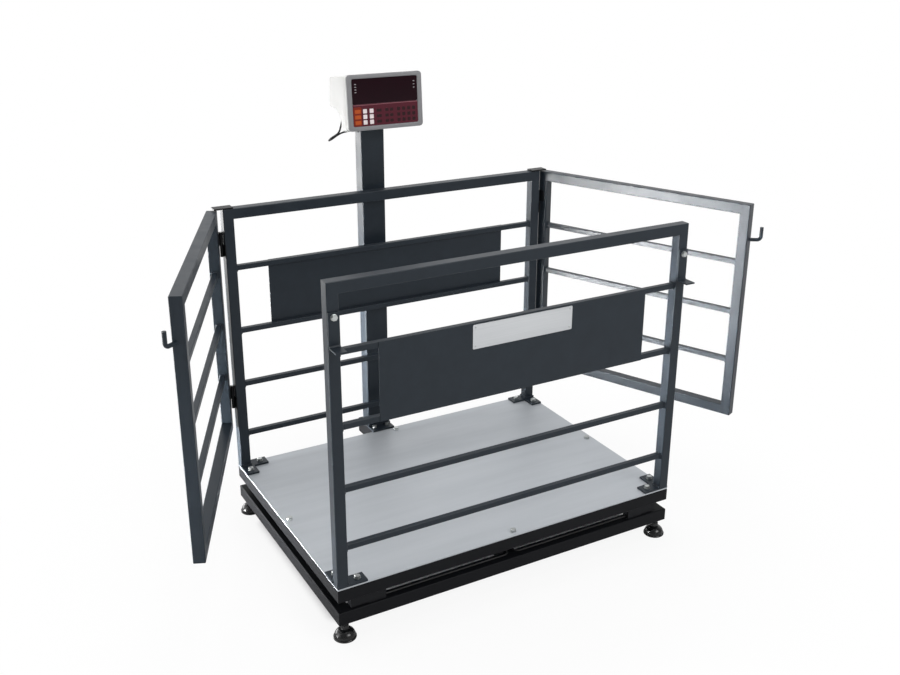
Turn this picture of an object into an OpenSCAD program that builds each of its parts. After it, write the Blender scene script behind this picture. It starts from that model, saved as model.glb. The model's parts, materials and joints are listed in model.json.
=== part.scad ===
// Livestock weighing crate: a four-cell platform scale with two railed sides,
// a swinging gate at each end and an indicator on a column behind the rear side.
// Millimetres. X runs along the long sides, Y from front to rear, Z up from the floor.

/* [Platform] */
// Length of the platform along X
platform_l = 1400; // [1300:10:1500]
// Width of the platform along Y
platform_w = 1000; // [950:10:1100]
// Side of the square tube of both frames
frame_tube = 50; // [45:1:55]
// Wall of the frame tube
frame_wall = 3; // [2:0.5:4]
// Clear height between the lower and the upper frame
frame_gap = 40; // [38:1:46]
// Thickness of the deck plate
deck_t = 5; // [3:0.5:8]

/* [Levelling feet] */
// Diameter of the foot pad
foot_d = 80; // [70:1:90]
// Clear height of the frame above the floor
foot_h = 65; // [65:1:75]
// Diameter of the foot's threaded stud
stud_d = 16; // [14:1:18]

/* [Side panels] */
// Height of the side panels above the deck
panel_h = 1070; // [1040:5:1120]
// Side of the square tube of the posts, top rails and gate frames
post_w = 40; // [38:1:42]
// Wall of the post tube
post_wall = 2; // [1.5:0.5:3]
// Side of the square tube of the bars
bar_w = 20; // [18:1:24]
// Wall of the bar tube
bar_wall = 1.5; // [1:0.5:2]
// Heights of the bar centres as shares of the panel's height, from the top down
bar_shares = [0.782, 0.544, 0.335, 0.134]; // [0.1:0.001:0.9]
// Length of the sheet on each side panel
sheet_l = 1056; // [900:2:1100]
// Thickness of the sheet
sheet_t = 2; // [1:0.5:3]

/* [Post foot plates] */
// Length of each arm of the L-shaped plate
arm_l = 110; // [104:1:120]
// Thickness of the plate
arm_t = 8; // [6:1:10]
// Distance of each bolt from the platform corner along its arm
arm_bolt_reach = 82; // [80:1:84]

/* [Gates] */
// Distance of the closed gate's free end behind the platform's front edge
gate_end_gap = 22; // [18:1:26]
// Height of a gate
gate_h = 890; // [860:5:900]
// Drop of the gate's top below the top of the posts
gate_drop = 6; // [4:1:10]
// Angle by which both gates stand open at rest
gate_rest_angle = 23.5; // [15:0.5:40]
// Gap between the posts and the closed gate
hinge_gap = 15; // [14:0.5:18]
// Distance of the hinge axis in front of the rear face of the rear posts
hinge_setback = 18; // [16:1:20]
// Outer diameter of the hinge barrels
barrel_d = 14; // [12:0.5:14]
// Diameter of the hinge pins
pin_d = 8; // [6:0.5:8]
// Length of one hinge, both halves
hinge_len = 95; // [85:1:105]
// Height of the lower hinge's centre above the gate's bottom edge
hinge_low_inset = 136; // [110:1:160]
// Drop of the upper hinge's centre below the gate's top edge
hinge_high_inset = 130; // [110:1:160]
// Bars between the top and bottom rail of a gate
gate_bars = 3; // [2:1:4]

/* [Latches] */
// Drop of the latch pivot below the top of the posts
latch_drop = 110; // [90:5:130]
// Width of the latch strap
strap_w = 38; // [34:1:40]
// Thickness of the latch strap
strap_t = 5; // [4:0.5:6]
// Distance from the pivot to the strap's tab
strap_reach = 96; // [95:1:110]
// Length of the tab, from the post's face
tab_l = 55; // [45:1:65]
// Diameter of the gate's hook rod
rod_d = 14; // [12:0.5:14]
// Drop of the hook rod below the top of the posts
hook_drop = 149; // [146:1:165]
// Rise of the hook's tip above the rod's centre
hook_rise = 50; // [45:1:60]

/* [Column] */
// Place of the column along X, from the middle of the platform
column_x = -50; // [-100:5:-50]
// Width of the column along X
column_w = 100; // [90:2:110]
// Depth of the column along Y
column_d = 60; // [50:2:60]
// Wall of the column tube
column_wall = 3; // [2:0.5:4]
// Gap between the platform's rear edge and the column
column_gap = 40; // [36:1:50]
// Height of the column's top above the deck
column_top = 1392; // [1300:1:1420]

/* [Indicator] */
// Width of the indicator's bezel
indicator_w = 315; // [290:5:330]
// Height of the indicator's bezel along its slope
indicator_h = 210; // [200:1:220]
// Thickness of the bezel
bezel_t = 14; // [12:1:18]
// Angle by which the bezel leans back
indicator_tilt = 4; // [2:0.2:10]
// Wall of the indicator housing
housing_wall = 3; // [2.5:0.5:4]

/* [Hidden] */
$fn = 48;
hex_sides = 6;

// Small clearances shared by the whole model
overrun = 1;
running_fit = 0.05;
side_play = 0.3;
hole_play = 0.5;

// Levels above the floor
base_z0 = foot_h;
base_z1 = base_z0 + frame_tube;
upper_z0 = base_z1 + frame_gap;
upper_z1 = upper_z0 + frame_tube;
deck_z = upper_z1 + deck_t;
post_z0 = deck_z + arm_t;
post_z1 = deck_z + panel_h;

// Half sizes of the platform and the middle lines of its frame tubes
half_l = platform_l / 2;
half_w = platform_w / 2;
rail_x = half_l - frame_tube / 2;
rail_y = half_w - frame_tube / 2;
post_x = half_l - post_w / 2;
post_y = half_w - post_w / 2;

// Corner radii of the tubes
frame_r = 4;
post_r = 3;
bar_r = 2;

// Levelling feet
foot_inset = 30;
foot_x = half_l - foot_inset;
rim_h = 7;
rim_lip = 3;
dome_r = 28;
foot_hex_af = 27;
foot_hex_h = 17;
lock_nut_af = 24;
lock_nut_h = 12;
boss_d = 32;
boss_h = 18;
stud_top = 34;

// Hexagon bolts, as across flats and head height
bolt_d = 12;
bolt_af = 19;
bolt_head_h = 8;
washer_d = 24;
washer_t = 2.5;
bolt_grip = 14;

// Load cells: beams along X, bolted at the inner end and loaded at the outer end
cell_l = 130;
cell_w = 32;
cell_pad_t = 4;
cell_h = frame_gap - 2 * cell_pad_t;
cell_inset = 50;
cell_outer_x = half_l - cell_inset;
cell_load_inset = 18;
cell_bolt_insets = [20, 45];
cell_bolt_d = 12;
cell_bore = 13;
cell_head_d = 18;
cell_head_h = 9;
cell_pad_l = 65;
cell_load_pad_l = 36;

// Junction box and cables
box_l = 110;
box_w = 46;
box_h = 28;
box_wall = 3;
box_lid_t = 4;
gland_d = 11;
gland_l = 12;
// Sides of the box that each gland is on, across and along it; the last is the signal cable's
gland_sides = [[-1, -1], [1, -1], [-1, 1], [1, 1], [0, 1]];
cable_d = 6;
cable_side = 12;
cable_bend = 24;

// Cross members under the deck
deck_cross_x = half_l / 2;

// Deck fixing holes
deck_hole = bolt_d + 2 * hole_play;

// Hinges
hinge_x = half_l + hinge_gap / 2;
hinge_y = half_w - hinge_setback;
gate_l = hinge_y + half_w - gate_end_gap;
leaf_t = 3;
leaf_w = 28;
half_gap = 1;
gate_z1 = post_z1 - gate_drop;
gate_z0 = gate_z1 - gate_h;
hinge_levels = [gate_z0 + hinge_low_inset, gate_z1 - hinge_high_inset];
top_plate_reach = 32;
top_plate_t = 6;

// Latch: the strap, swung out, gives the hook its place
latch_z = post_z1 - latch_drop;
pivot_d = 10;
pivot_head_af = 17;
pivot_head_h = 7;
pivot_washer_d = 22;
pivot_washer_t = 2;
pivot_nut_h = 8;
strap_top = 16;
bend_r = 6;
strap_front_y = -half_w - side_play - strap_t;
hook_x = post_x + strap_reach - rod_d / 2 - side_play;
hook_y = strap_front_y - rod_d / 2 - side_play;
hook_z = post_z1 - hook_drop;
hook_root_in = 10;
hook_bend_r = 14;

// Column and its brackets behind the upper frame
column_y0 = half_w + column_gap;
column_y1 = column_y0 + column_d;
column_yc = (column_y0 + column_y1) / 2;
column_cap_t = 4;
column_z1 = deck_z + column_top - column_cap_t;
column_r = 5;
base_plate_lap = 7;
base_plate_y0 = half_w - base_plate_lap;
base_plate_apron = 45;
base_plate_y1 = column_y1 + base_plate_apron;
base_plate_t = 8;
bracket_w = 40;
bracket_spread = 60;
bracket_top_t = deck_t;
column_bolt_d = 10;
column_bolt_af = 17;
column_bolt_head_h = 7;
column_bolt_washer_d = 20;
column_bolt_spread = 60;
column_bolt_front = 24;
cable_hole_d = 16;

// Indicator: its frame stands at the lower front edge of the bezel
bezel_ahead = 131;
bezel_below = 69;
bezel_seat = 0.1;
bezel_y = column_y0 - bezel_ahead;
bezel_z = deck_z + column_top - bezel_below;
housing_step_z = deck_z + column_top;
housing_rear_depth = 60;
housing_rear_lean = 9;
housing_front_drop = 5;
housing_top_fall = 21;
housing_belly_drop = 7;
housing_belly_ahead = 70;
housing_heel_drop = 3;
scoop_r = 65;
scoop_back = 12;
scoop_y = column_y0 + scoop_back;
scoop_z = housing_step_z - scoop_r;
panel_margin_side = 20;
panel_margin_end = 16;
panel_recess = 4;
panel_corner_r = 6;
bezel_r = 14;
window_share = 0.53;
window_t = 3;
keypad_t = 2.5;
seam = 0.5;
board_w = 230;
board_h = 130;
board_t = 2;
board_stand = 10;
standoff_d = 8;
standoff_spread = [200, 100];
battery = [64, 40, 60];
battery_gap = 10;
screw_d = 6;
screw_head_d = 11;
screw_head_h = 4;
screw_spread = 84;
screw_grip = 4;
grommet_drop = 97;
grommet_d = 18;
grommet_t = 3;
cord_d = 7;
gland_body_d = 16;
gland_body_l = 16;
gland_out = 60;
gland_ahead = 1;
cord_sides = 10;
cord_ref = [0.6, 0, -0.8];
// Route of the free cable to the housing's gland, from the outer face of the column's grommet
cord_route = [
    [0, 0, 0],
    [-14, 0, 0],
    [-28, 3, 0],
    [-43, 9, -3],
    [-58, 17, -8],
    [-73, 23, -16],
    [-86, 25, -24],
    [-99, 22, -30],
    [-112, 13, -32],
    [-121, 0, -30],
    [-123, -13, -24],
    [-118, -22, -16],
    [-107, -25, -9],
    [-94, -24, -2],
    [-84, -20, 7],
    [-77, -14, 18],
    [-71, -9, 30],
    [-65, -4, 43],
    [-59, -2, 56],
    [-57, -1, 69],
    [-57, -1, 81]
];

// Round-cornered rectangle made of straight sides and true arcs
module rounded_rect(w, h, r) {
    square([w - 2 * r, h], center = true);
    square([w, h - 2 * r], center = true);
    for (sx = [-1, 1], sy = [-1, 1])
        translate([sx * (w / 2 - r), sy * (h / 2 - r)])
            circle(r);
}

// Section of a rectangular tube
module tube_section(w, h, wall, r) {
    difference() {
        rounded_rect(w, h, r);
        rounded_rect(w - 2 * wall, h - 2 * wall, max(r - wall, wall / 2));
    }
}

// Straight tube along X, centred
module tube_x(length, w, wall, r) {
    rotate([90, 0, 90])
        linear_extrude(length, center = true)
            tube_section(w, w, wall, r);
}

// Straight tube along Y, centred
module tube_y(length, w, wall, r) {
    rotate([90, 0, 0])
        linear_extrude(length, center = true)
            tube_section(w, w, wall, r);
}

// Tube along X with both ends mitred, its long side towards -Y
module mitred_tube(length, w, wall, r) {
    out = w / 2 + overrun;
    intersection() {
        tube_x(length, w, wall, r);
        linear_extrude(w + 2 * overrun, center = true)
            polygon([
                [-length / 2 - overrun, -out],
                [length / 2 + overrun, -out],
                [length / 2 - w - overrun, out],
                [-length / 2 + w + overrun, out]
            ]);
    }
}

// Upright tube from z = 0, mitred at the top, its long side towards -X
module mitred_post(height, w, wall, r) {
    out = w / 2 + overrun;
    intersection() {
        linear_extrude(height)
            tube_section(w, w, wall, r);
        rotate([90, 0, 0])
            linear_extrude(w + 2 * overrun, center = true)
                polygon([
                    [-out, -overrun],
                    [out, -overrun],
                    [out, height - w - overrun],
                    [-out, height + overrun]
                ]);
    }
}

// Hexagon prism standing on z = 0, by its size across flats
module hexagon(af, h) {
    cylinder(h = h, d = af / cos(180 / hex_sides), $fn = hex_sides);
}

// Hexagon bolt with washer, seated at z = 0, its shank downwards
module hex_bolt(d, af, head_h, wd, wt, shank) {
    translate([0, 0, wt])
        hexagon(af, head_h);
    cylinder(h = wt, d = wd);
    translate([0, 0, -shank])
        cylinder(h = shank, d = d);
}

// Quarter bend of a cable in the XY plane round the origin, from +X to +Y
module bend(r, d) {
    rotate_extrude(angle = 90)
        translate([r, 0])
            circle(d = d);
}

// Straight run of cable along Z from z = 0
module run(length, d) {
    cylinder(h = length, d = d);
}

function unit(v) = v / norm(v);
function tangent(p, i) = unit(p[min(i + 1, len(p) - 1)] - p[max(i - 1, 0)]);

// Round tube with flat ends along a list of points
module tube_along(points, d, sides, ref) {
    n = len(points);
    rings = [
        for (i = [0 : n - 1])
            let (t = tangent(points, i), a = unit(cross(t, ref)), b = cross(t, a))
                for (k = [0 : sides - 1])
                    points[i] + d / 2 * (cos(360 * k / sides) * a + sin(360 * k / sides) * b)
    ];
    skin = [
        for (i = [0 : n - 2], k = [0 : sides - 1])
            let (j = (k + 1) % sides, p = i * sides, q = p + sides)
                each [[p + k, q + k, q + j], [p + k, q + j, p + j]]
    ];
    first = [for (k = [1 : sides - 2]) [0, k, k + 1]];
    last = [for (k = [1 : sides - 2]) [0, k + 1, k] + (n - 1) * sides * [1, 1, 1]];
    polyhedron(rings, concat(skin, first, last));
}

// The children at each of the four corners, turned to the signs of the corner
module at_corners(x, y) {
    for (sx = [-1, 1], sy = [-1, 1])
        translate([sx * x, sy * y, 0])
            children();
}

// The children as they are, and mirrored to the other end of the crate
module both_ends() {
    children();
    mirror([1, 0, 0])
        children();
}

// The children as they are, and mirrored to the other long side
module both_sides() {
    children();
    mirror([0, 1, 0])
        children();
}

// Places of the bolts of the post foot plates
module at_foot_plate_bolts() {
    at_corners(half_l - arm_bolt_reach, rail_y)
        children();
    at_corners(rail_x, half_w - arm_bolt_reach)
        children();
}

// Places of the bolt in the middle of each deck edge
module at_deck_bolts() {
    for (sx = [-1, 1])
        translate([sx * rail_x, 0, 0])
            children();
    for (sy = [-1, 1])
        translate([0, sy * rail_y, 0])
            children();
}

// Two mitred frame rails along X
module long_rails() {
    both_sides()
        translate([0, -rail_y, 0])
            mitred_tube(platform_l, frame_tube, frame_wall, frame_r);
}

// Two mitred frame rails along Y
module side_rails() {
    both_ends()
        translate([-rail_x, 0, 0])
            rotate([0, 0, -90])
                mitred_tube(platform_w, frame_tube, frame_wall, frame_r);
}

// Holes for the studs of the feet, through the lower walls where the rails meet
module foot_holes() {
    at_corners(foot_x, rail_y)
        translate([0, 0, base_z0 - overrun])
            cylinder(h = frame_wall + 2 * overrun, d = stud_d + 2 * hole_play);
}

module base_long_rails() {
    color("#1b1c20")
        difference() {
            translate([0, 0, (base_z0 + base_z1) / 2])
                long_rails();
            foot_holes();
            at_load_cells()
                at_cell_bolts()
                    translate([0, 0, base_z1 - frame_wall - overrun])
                        cylinder(h = frame_wall + 2 * overrun, d = cell_bolt_d);
        }
}

module base_side_rails() {
    color("#1b1c20")
        difference() {
            translate([0, 0, (base_z0 + base_z1) / 2])
                side_rails();
            foot_holes();
        }
}

module base_cross_member() {
    color("#1b1c20")
        translate([0, 0, (base_z0 + base_z1) / 2])
            tube_y(platform_w - 2 * frame_tube, frame_tube, frame_wall, frame_r);
}

module foot_bosses() {
    color("#55585c")
        at_corners(foot_x, rail_y)
            translate([0, 0, base_z0 + frame_wall])
                difference() {
                    cylinder(h = boss_h, d = boss_d);
                    translate([0, 0, -overrun])
                        cylinder(h = boss_h + 2 * overrun, d = stud_d + 2 * running_fit);
                }
}

module foot_lock_nuts() {
    color("#2a2b2e")
        at_corners(foot_x, rail_y)
            translate([0, 0, base_z0 - lock_nut_h])
                difference() {
                    hexagon(lock_nut_af, lock_nut_h);
                    translate([0, 0, -overrun])
                        cylinder(h = lock_nut_h + 2 * overrun, d = stud_d + 2 * running_fit);
                }
}

// Domed pad, hexagon and stud of one foot, on the floor
module foot() {
    core = foot_d / 2 - rim_lip - dome_r;
    cylinder(h = rim_h, d = foot_d);
    translate([0, 0, rim_h])
        rotate_extrude() {
            square([core, dome_r]);
            translate([core, 0])
                intersection() {
                    circle(dome_r);
                    square(dome_r);
                }
        }
    translate([0, 0, rim_h])
        hexagon(foot_hex_af, dome_r + foot_hex_h);
    translate([0, 0, rim_h])
        cylinder(h = base_z0 + stud_top - rim_h, d = stud_d);
}

module foot_front_left() {
    color("#1a1a1c")
        translate([-foot_x, -rail_y, 0])
            foot();
}

module foot_front_right() {
    color("#1a1a1c")
        translate([foot_x, -rail_y, 0])
            foot();
}

module foot_rear_left() {
    color("#1a1a1c")
        translate([-foot_x, rail_y, 0])
            foot();
}

module foot_rear_right() {
    color("#1a1a1c")
        translate([foot_x, rail_y, 0])
            foot();
}

// The children at each load cell's outer end, the cell running inwards along -X
module at_load_cells() {
    both_sides()
        both_ends()
            translate([cell_outer_x, rail_y, 0])
                children();
}

// Places of the two fixing bolts at the inner end of a cell
module at_cell_bolts() {
    for (inset = cell_bolt_insets)
        translate([inset - cell_l, 0, 0])
            children();
}

module load_cells() {
    z0 = base_z1 + cell_pad_t;
    color("#26272a")
        at_load_cells()
            difference() {
                translate([-cell_l, -cell_w / 2, z0])
                    cube([cell_l, cell_w, cell_h]);
                at_cell_bolts() {
                    translate([0, 0, z0 - overrun])
                        cylinder(h = cell_h + 2 * overrun, d = cell_bore);
                    translate([0, 0, z0 + cell_h - cell_head_h - hole_play])
                        cylinder(h = cell_head_h + hole_play + overrun, d = cell_head_d + 2 * hole_play);
                }
                translate([-cell_load_inset, 0, z0 - overrun]) {
                    cylinder(h = cell_h + 2 * overrun, d = cell_bore);
                    cylinder(h = cell_head_h + hole_play + overrun, d = cell_head_d + 2 * hole_play);
                }
            }
}

module load_cell_base_pads() {
    color("#26272a")
        at_load_cells()
            difference() {
                translate([-cell_l, -cell_w / 2, base_z1])
                    cube([cell_pad_l, cell_w, cell_pad_t]);
                at_cell_bolts()
                    translate([0, 0, base_z1 - overrun])
                        cylinder(h = cell_pad_t + 2 * overrun, d = cell_bore);
            }
}

module load_cell_top_pads() {
    color("#26272a")
        at_load_cells()
            difference() {
                translate([-cell_load_pad_l, -cell_w / 2, upper_z0 - cell_pad_t])
                    cube([cell_load_pad_l, cell_w, cell_pad_t]);
                translate([-cell_load_inset, 0, upper_z0 - cell_pad_t - overrun])
                    cylinder(h = cell_pad_t + 2 * overrun, d = cell_bore);
            }
}

module load_cell_bolts() {
    z0 = base_z1 + cell_pad_t;
    head_z = z0 + cell_h - cell_head_h - hole_play;
    color("#26272a")
        at_load_cells() {
            at_cell_bolts() {
                translate([0, 0, head_z])
                    cylinder(h = cell_head_h, d = cell_head_d);
                translate([0, 0, base_z1 - frame_wall])
                    cylinder(h = head_z - base_z1 + frame_wall, d = cell_bolt_d);
            }
            translate([-cell_load_inset, 0, z0 + hole_play]) {
                cylinder(h = cell_head_h, d = cell_head_d);
                cylinder(h = upper_z0 + frame_wall - z0 - hole_play, d = cell_bolt_d);
            }
        }
}

module junction_box() {
    color("#9a9da1")
        difference() {
            translate([-box_w / 2, -box_l / 2, base_z1])
                cube([box_w, box_l, box_h]);
            translate([-box_w / 2 + box_wall, -box_l / 2 + box_wall, base_z1 + box_wall])
                cube([box_w - 2 * box_wall, box_l - 2 * box_wall, box_h]);
            at_box_glands(0)
                cylinder(h = 2 * box_wall + 2 * overrun, d = cable_d, center = true);
        }
}

module junction_box_lid() {
    color("#b4b7bb")
        translate([-box_w / 2, -box_l / 2, base_z1 + box_h])
            cube([box_w, box_l, box_lid_t]);
}

// Places of the cable glands on the ends of the junction box, Z along the cable
module at_box_glands(out) {
    for (side = gland_sides)
        translate([side[0] * cable_side, side[1] * (box_l / 2 + out), base_z1 + gland_d / 2])
            rotate([90, 0, 0])
                children();
}

module junction_box_glands() {
    color("#202124")
        at_box_glands(gland_l / 2)
            difference() {
                cylinder(h = gland_l, d = gland_d, center = true);
                cylinder(h = gland_l + 2 * overrun, d = cable_d, center = true);
            }
}

module load_cell_cables() {
    lay_z = base_z1 + gland_d / 2;
    cell_end_x = cell_outer_x - cell_l;
    box_y = box_l / 2 - box_wall;
    color("#151517")
        both_sides()
            both_ends() {
                translate([cable_side + cable_bend, rail_y, lay_z])
                    rotate([0, 90, 0])
                        run(cell_end_x - cable_side - cable_bend, cable_d);
                translate([cable_side + cable_bend, rail_y - cable_bend, lay_z])
                    rotate([0, 0, 90])
                        bend(cable_bend, cable_d);
                translate([cable_side, box_y, lay_z])
                    rotate([-90, 0, 0])
                        run(rail_y - cable_bend - box_y, cable_d);
            }
}

// From the junction box out over the rear rail, up the column and out to its grommet
module signal_cable() {
    lay_z = base_z1 + gland_d / 2;
    exit_z = housing_step_z - grommet_drop;
    color("#151517") {
        translate([0, box_l / 2 - box_wall, lay_z])
            rotate([-90, 0, 0])
                run(column_yc - cable_bend - box_l / 2 + box_wall, cable_d);
        translate([-cable_bend, column_yc - cable_bend, lay_z])
            bend(cable_bend, cable_d);
        translate([column_x + cable_bend, column_yc, lay_z])
            rotate([0, 90, 0])
                run(-column_x - 2 * cable_bend, cable_d);
        translate([column_x + cable_bend, column_yc, lay_z + cable_bend])
            rotate([90, 0, 0])
                rotate([0, 0, 180])
                    bend(cable_bend, cable_d);
        translate([column_x, column_yc, lay_z + cable_bend])
            run(exit_z - lay_z - 2 * cable_bend, cable_d);
        translate([column_x - cable_bend, column_yc, exit_z - cable_bend])
            rotate([90, 0, 0])
                bend(cable_bend, cable_d);
        translate([column_x - column_w / 2, column_yc, exit_z])
            rotate([0, 90, 0])
                run(column_w / 2 - cable_bend, cable_d);
    }
}

module deck_long_rails() {
    color("#1b1c20")
        difference() {
            translate([0, 0, (upper_z0 + upper_z1) / 2])
                long_rails();
            translate([0, 0, upper_z1 - frame_wall - overrun]) {
                at_foot_plate_bolts()
                    cylinder(h = frame_wall + 2 * overrun, d = bolt_d);
                at_deck_bolts()
                    cylinder(h = frame_wall + 2 * overrun, d = bolt_d);
            }
            at_load_cells()
                translate([-cell_load_inset, 0, upper_z0 - overrun])
                    cylinder(h = frame_wall + 2 * overrun, d = cell_bolt_d);
        }
}

module deck_side_rails() {
    color("#1b1c20")
        difference() {
            translate([0, 0, (upper_z0 + upper_z1) / 2])
                side_rails();
            translate([0, 0, upper_z1 - frame_wall - overrun]) {
                at_foot_plate_bolts()
                    cylinder(h = frame_wall + 2 * overrun, d = bolt_d);
                at_deck_bolts()
                    cylinder(h = frame_wall + 2 * overrun, d = bolt_d);
            }
        }
}

module deck_cross_members() {
    color("#1b1c20")
        for (x = [-deck_cross_x, 0, deck_cross_x])
            translate([x, 0, (upper_z0 + upper_z1) / 2])
                tube_y(platform_w - 2 * frame_tube, frame_tube, frame_wall, frame_r);
}

module deck_plate() {
    color("#a3a7ad")
        difference() {
            translate([-half_l, -half_w, upper_z1])
                cube([platform_l, platform_w, deck_t]);
            translate([0, 0, upper_z1 - overrun]) {
                at_foot_plate_bolts()
                    cylinder(h = deck_t + 2 * overrun, d = deck_hole);
                at_deck_bolts()
                    cylinder(h = deck_t + 2 * overrun, d = deck_hole);
            }
        }
}

module deck_bolts() {
    color("#d2d5d8")
        at_deck_bolts()
            translate([0, 0, deck_z])
                hex_bolt(bolt_d, bolt_af, bolt_head_h, washer_d, washer_t, deck_t + bolt_grip);
}

module post_foot_plates() {
    color("#2e363d")
        difference() {
            both_sides()
                both_ends()
                    translate([-half_l, -half_w, deck_z])
                        linear_extrude(arm_t) {
                            square([arm_l, frame_tube]);
                            square([frame_tube, arm_l]);
                        }
            translate([0, 0, deck_z - overrun])
                at_foot_plate_bolts()
                    cylinder(h = arm_t + 2 * overrun, d = deck_hole);
        }
}

module foot_plate_bolts() {
    color("#d2d5d8")
        at_foot_plate_bolts()
            translate([0, 0, deck_z + arm_t])
                hex_bolt(bolt_d, bolt_af, bolt_head_h, washer_d, washer_t, arm_t + deck_t + bolt_grip);
}

module panel_posts() {
    color("#2e363d")
        difference() {
            both_sides()
                both_ends()
                    translate([-post_x, -post_y, post_z0])
                        mitred_post(post_z1 - post_z0, post_w, post_wall, post_r);
            at_latch_pivots()
                cylinder(h = post_w + 2 * overrun, d = pivot_d + 2 * hole_play);
        }
}

module panel_top_rails() {
    color("#2e363d")
        both_sides()
            translate([0, -post_y, post_z1 - post_w / 2])
                rotate([-90, 0, 0])
                    mitred_tube(platform_l, post_w, post_wall, post_r);
}

module panel_bars() {
    color("#2e363d")
        both_sides()
            for (share = bar_shares)
                translate([0, -post_y, deck_z + share * panel_h])
                    tube_x(platform_l - 2 * post_w, bar_w, bar_wall, bar_r);
}

module panel_sheets() {
    z0 = deck_z + bar_shares[1] * panel_h - bar_w / 2;
    z1 = deck_z + bar_shares[0] * panel_h + bar_w / 2;
    color("#2e363d")
        both_sides()
            translate([-sheet_l / 2, -post_y - bar_w / 2 - sheet_t, z0])
                cube([sheet_l, sheet_t, z1 - z0]);
}

module post_top_plates() {
    color("#1c1d20")
        both_ends()
            translate([half_l - post_w, half_w - post_w, post_z1])
                cube([post_w + top_plate_reach, post_w, top_plate_t]);
}

// One half of a hinge from z = 0, its leaf along the gate side or the post side
module hinge_half(length, bore, leaf_y) {
    difference() {
        union() {
            cylinder(h = length, d = barrel_d);
            translate([0, leaf_y, 0])
                cube([leaf_w, leaf_t, length]);
        }
        translate([0, 0, -overrun])
            cylinder(h = length + 2 * overrun, d = bore);
    }
}

// A gate's own frame: X from the hinge axis to the free end, Y outwards
module gate_frame(open) {
    translate([hinge_x, hinge_y, 0])
        rotate([0, 0, open - 90])
            children();
}

// The lower hinge half of each hinge, welded to the post
module post_hinge_halves() {
    half = (hinge_len - half_gap) / 2;
    color("#18181a")
        both_ends()
            for (z = hinge_levels)
                translate([0, 0, z - hinge_len / 2])
                    gate_frame(0)
                        hinge_half(half, pin_d, -hinge_gap / 2);
}

module hinge_pins() {
    color("#8d9094")
        both_ends()
            for (z = hinge_levels)
                translate([hinge_x, hinge_y, z - hinge_len / 2])
                    cylinder(h = hinge_len, d = pin_d);
}

// Stiles of a gate in its own frame
module gate_stiles() {
    y = hinge_gap / 2 + post_w / 2;
    z = (gate_z0 + gate_z1) / 2;
    translate([post_w / 2, y, z])
        rotate([-90, -90, 0])
            mitred_tube(gate_h, post_w, post_wall, post_r);
    translate([gate_l - post_w / 2, y, z])
        rotate([0, 0, 180])
            rotate([-90, -90, 0])
                mitred_tube(gate_h, post_w, post_wall, post_r);
}

// Top and bottom rail of a gate in its own frame
module gate_rails() {
    y = hinge_gap / 2 + post_w / 2;
    translate([gate_l / 2, y, gate_z1 - post_w / 2])
        rotate([-90, 0, 0])
            mitred_tube(gate_l, post_w, post_wall, post_r);
    translate([gate_l / 2, y, gate_z0 + post_w / 2])
        rotate([90, 0, 0])
            mitred_tube(gate_l, post_w, post_wall, post_r);
}

// Bars of a gate in its own frame, with equal gaps between them
module gate_inner_bars() {
    y = hinge_gap / 2 + post_w / 2;
    clear = gate_h - 2 * post_w;
    gap = (clear - gate_bars * bar_w) / (gate_bars + 1);
    for (i = [1 : gate_bars])
        translate([gate_l / 2, y, gate_z0 + post_w + i * gap + (i - 1 / 2) * bar_w])
            tube_x(gate_l - 2 * post_w, bar_w, bar_wall, bar_r);
}

// Upper hinge halves of a gate in its own frame, welded to the stile
module gate_hinge_halves() {
    half = (hinge_len - half_gap) / 2;
    for (z = hinge_levels)
        translate([0, 0, z - hinge_len / 2 + half + half_gap])
            hinge_half(half, pin_d + 2 * running_fit, hinge_gap / 2 - leaf_t);
}

// Bent rod of a gate in its own frame, welded to the end of the free stile
module gate_hook() {
    outer_y = hinge_gap / 2 + post_w;
    root = [gate_l, outer_y - hook_root_in];
    tip = [hinge_y - hook_y, hook_x - hinge_x];
    run = tip - root;
    reach = norm(run);
    back = rod_d;
    difference() {
        translate([root[0], root[1], hook_z])
            rotate([0, 0, atan2(run[1], run[0])]) {
                translate([-back, 0, 0])
                    rotate([0, 90, 0])
                        cylinder(h = reach - hook_bend_r + back, d = rod_d);
                translate([reach - hook_bend_r, 0, hook_bend_r])
                    rotate([90, 0, 0])
                        rotate([0, 0, -90])
                            rotate_extrude(angle = 90)
                                translate([hook_bend_r, 0])
                                    circle(d = rod_d);
                translate([reach, 0, hook_bend_r])
                    cylinder(h = hook_rise - hook_bend_r, d = rod_d);
            }
        translate([gate_l - post_w, hinge_gap / 2 - overrun, hook_z - rod_d])
            cube([post_w, 2 * post_w, 2 * rod_d]);
    }
}

module right_gate_stiles() {
    color("#2e363d")
        gate_frame(gate_rest_angle)
            gate_stiles();
}

module right_gate_rails() {
    color("#2e363d")
        gate_frame(gate_rest_angle)
            gate_rails();
}

module right_gate_bars() {
    color("#2e363d")
        gate_frame(gate_rest_angle)
            gate_inner_bars();
}

module right_gate_hinge_halves() {
    color("#18181a")
        gate_frame(gate_rest_angle)
            gate_hinge_halves();
}

module right_gate_hook() {
    color("#2e363d")
        gate_frame(gate_rest_angle)
            gate_hook();
}

module left_gate_stiles() {
    mirror([1, 0, 0])
        right_gate_stiles();
}

module left_gate_rails() {
    mirror([1, 0, 0])
        right_gate_rails();
}

module left_gate_bars() {
    mirror([1, 0, 0])
        right_gate_bars();
}

module left_gate_hinge_halves() {
    mirror([1, 0, 0])
        right_gate_hinge_halves();
}

module left_gate_hook() {
    mirror([1, 0, 0])
        right_gate_hook();
}

// Places of the two latch pivots, Z pointing rearwards through the post
module at_latch_pivots() {
    for (sx = [-1, 1])
        translate([sx * post_x, -half_w - overrun, latch_z])
            rotate([-90, 0, 0])
                children();
}

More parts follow.
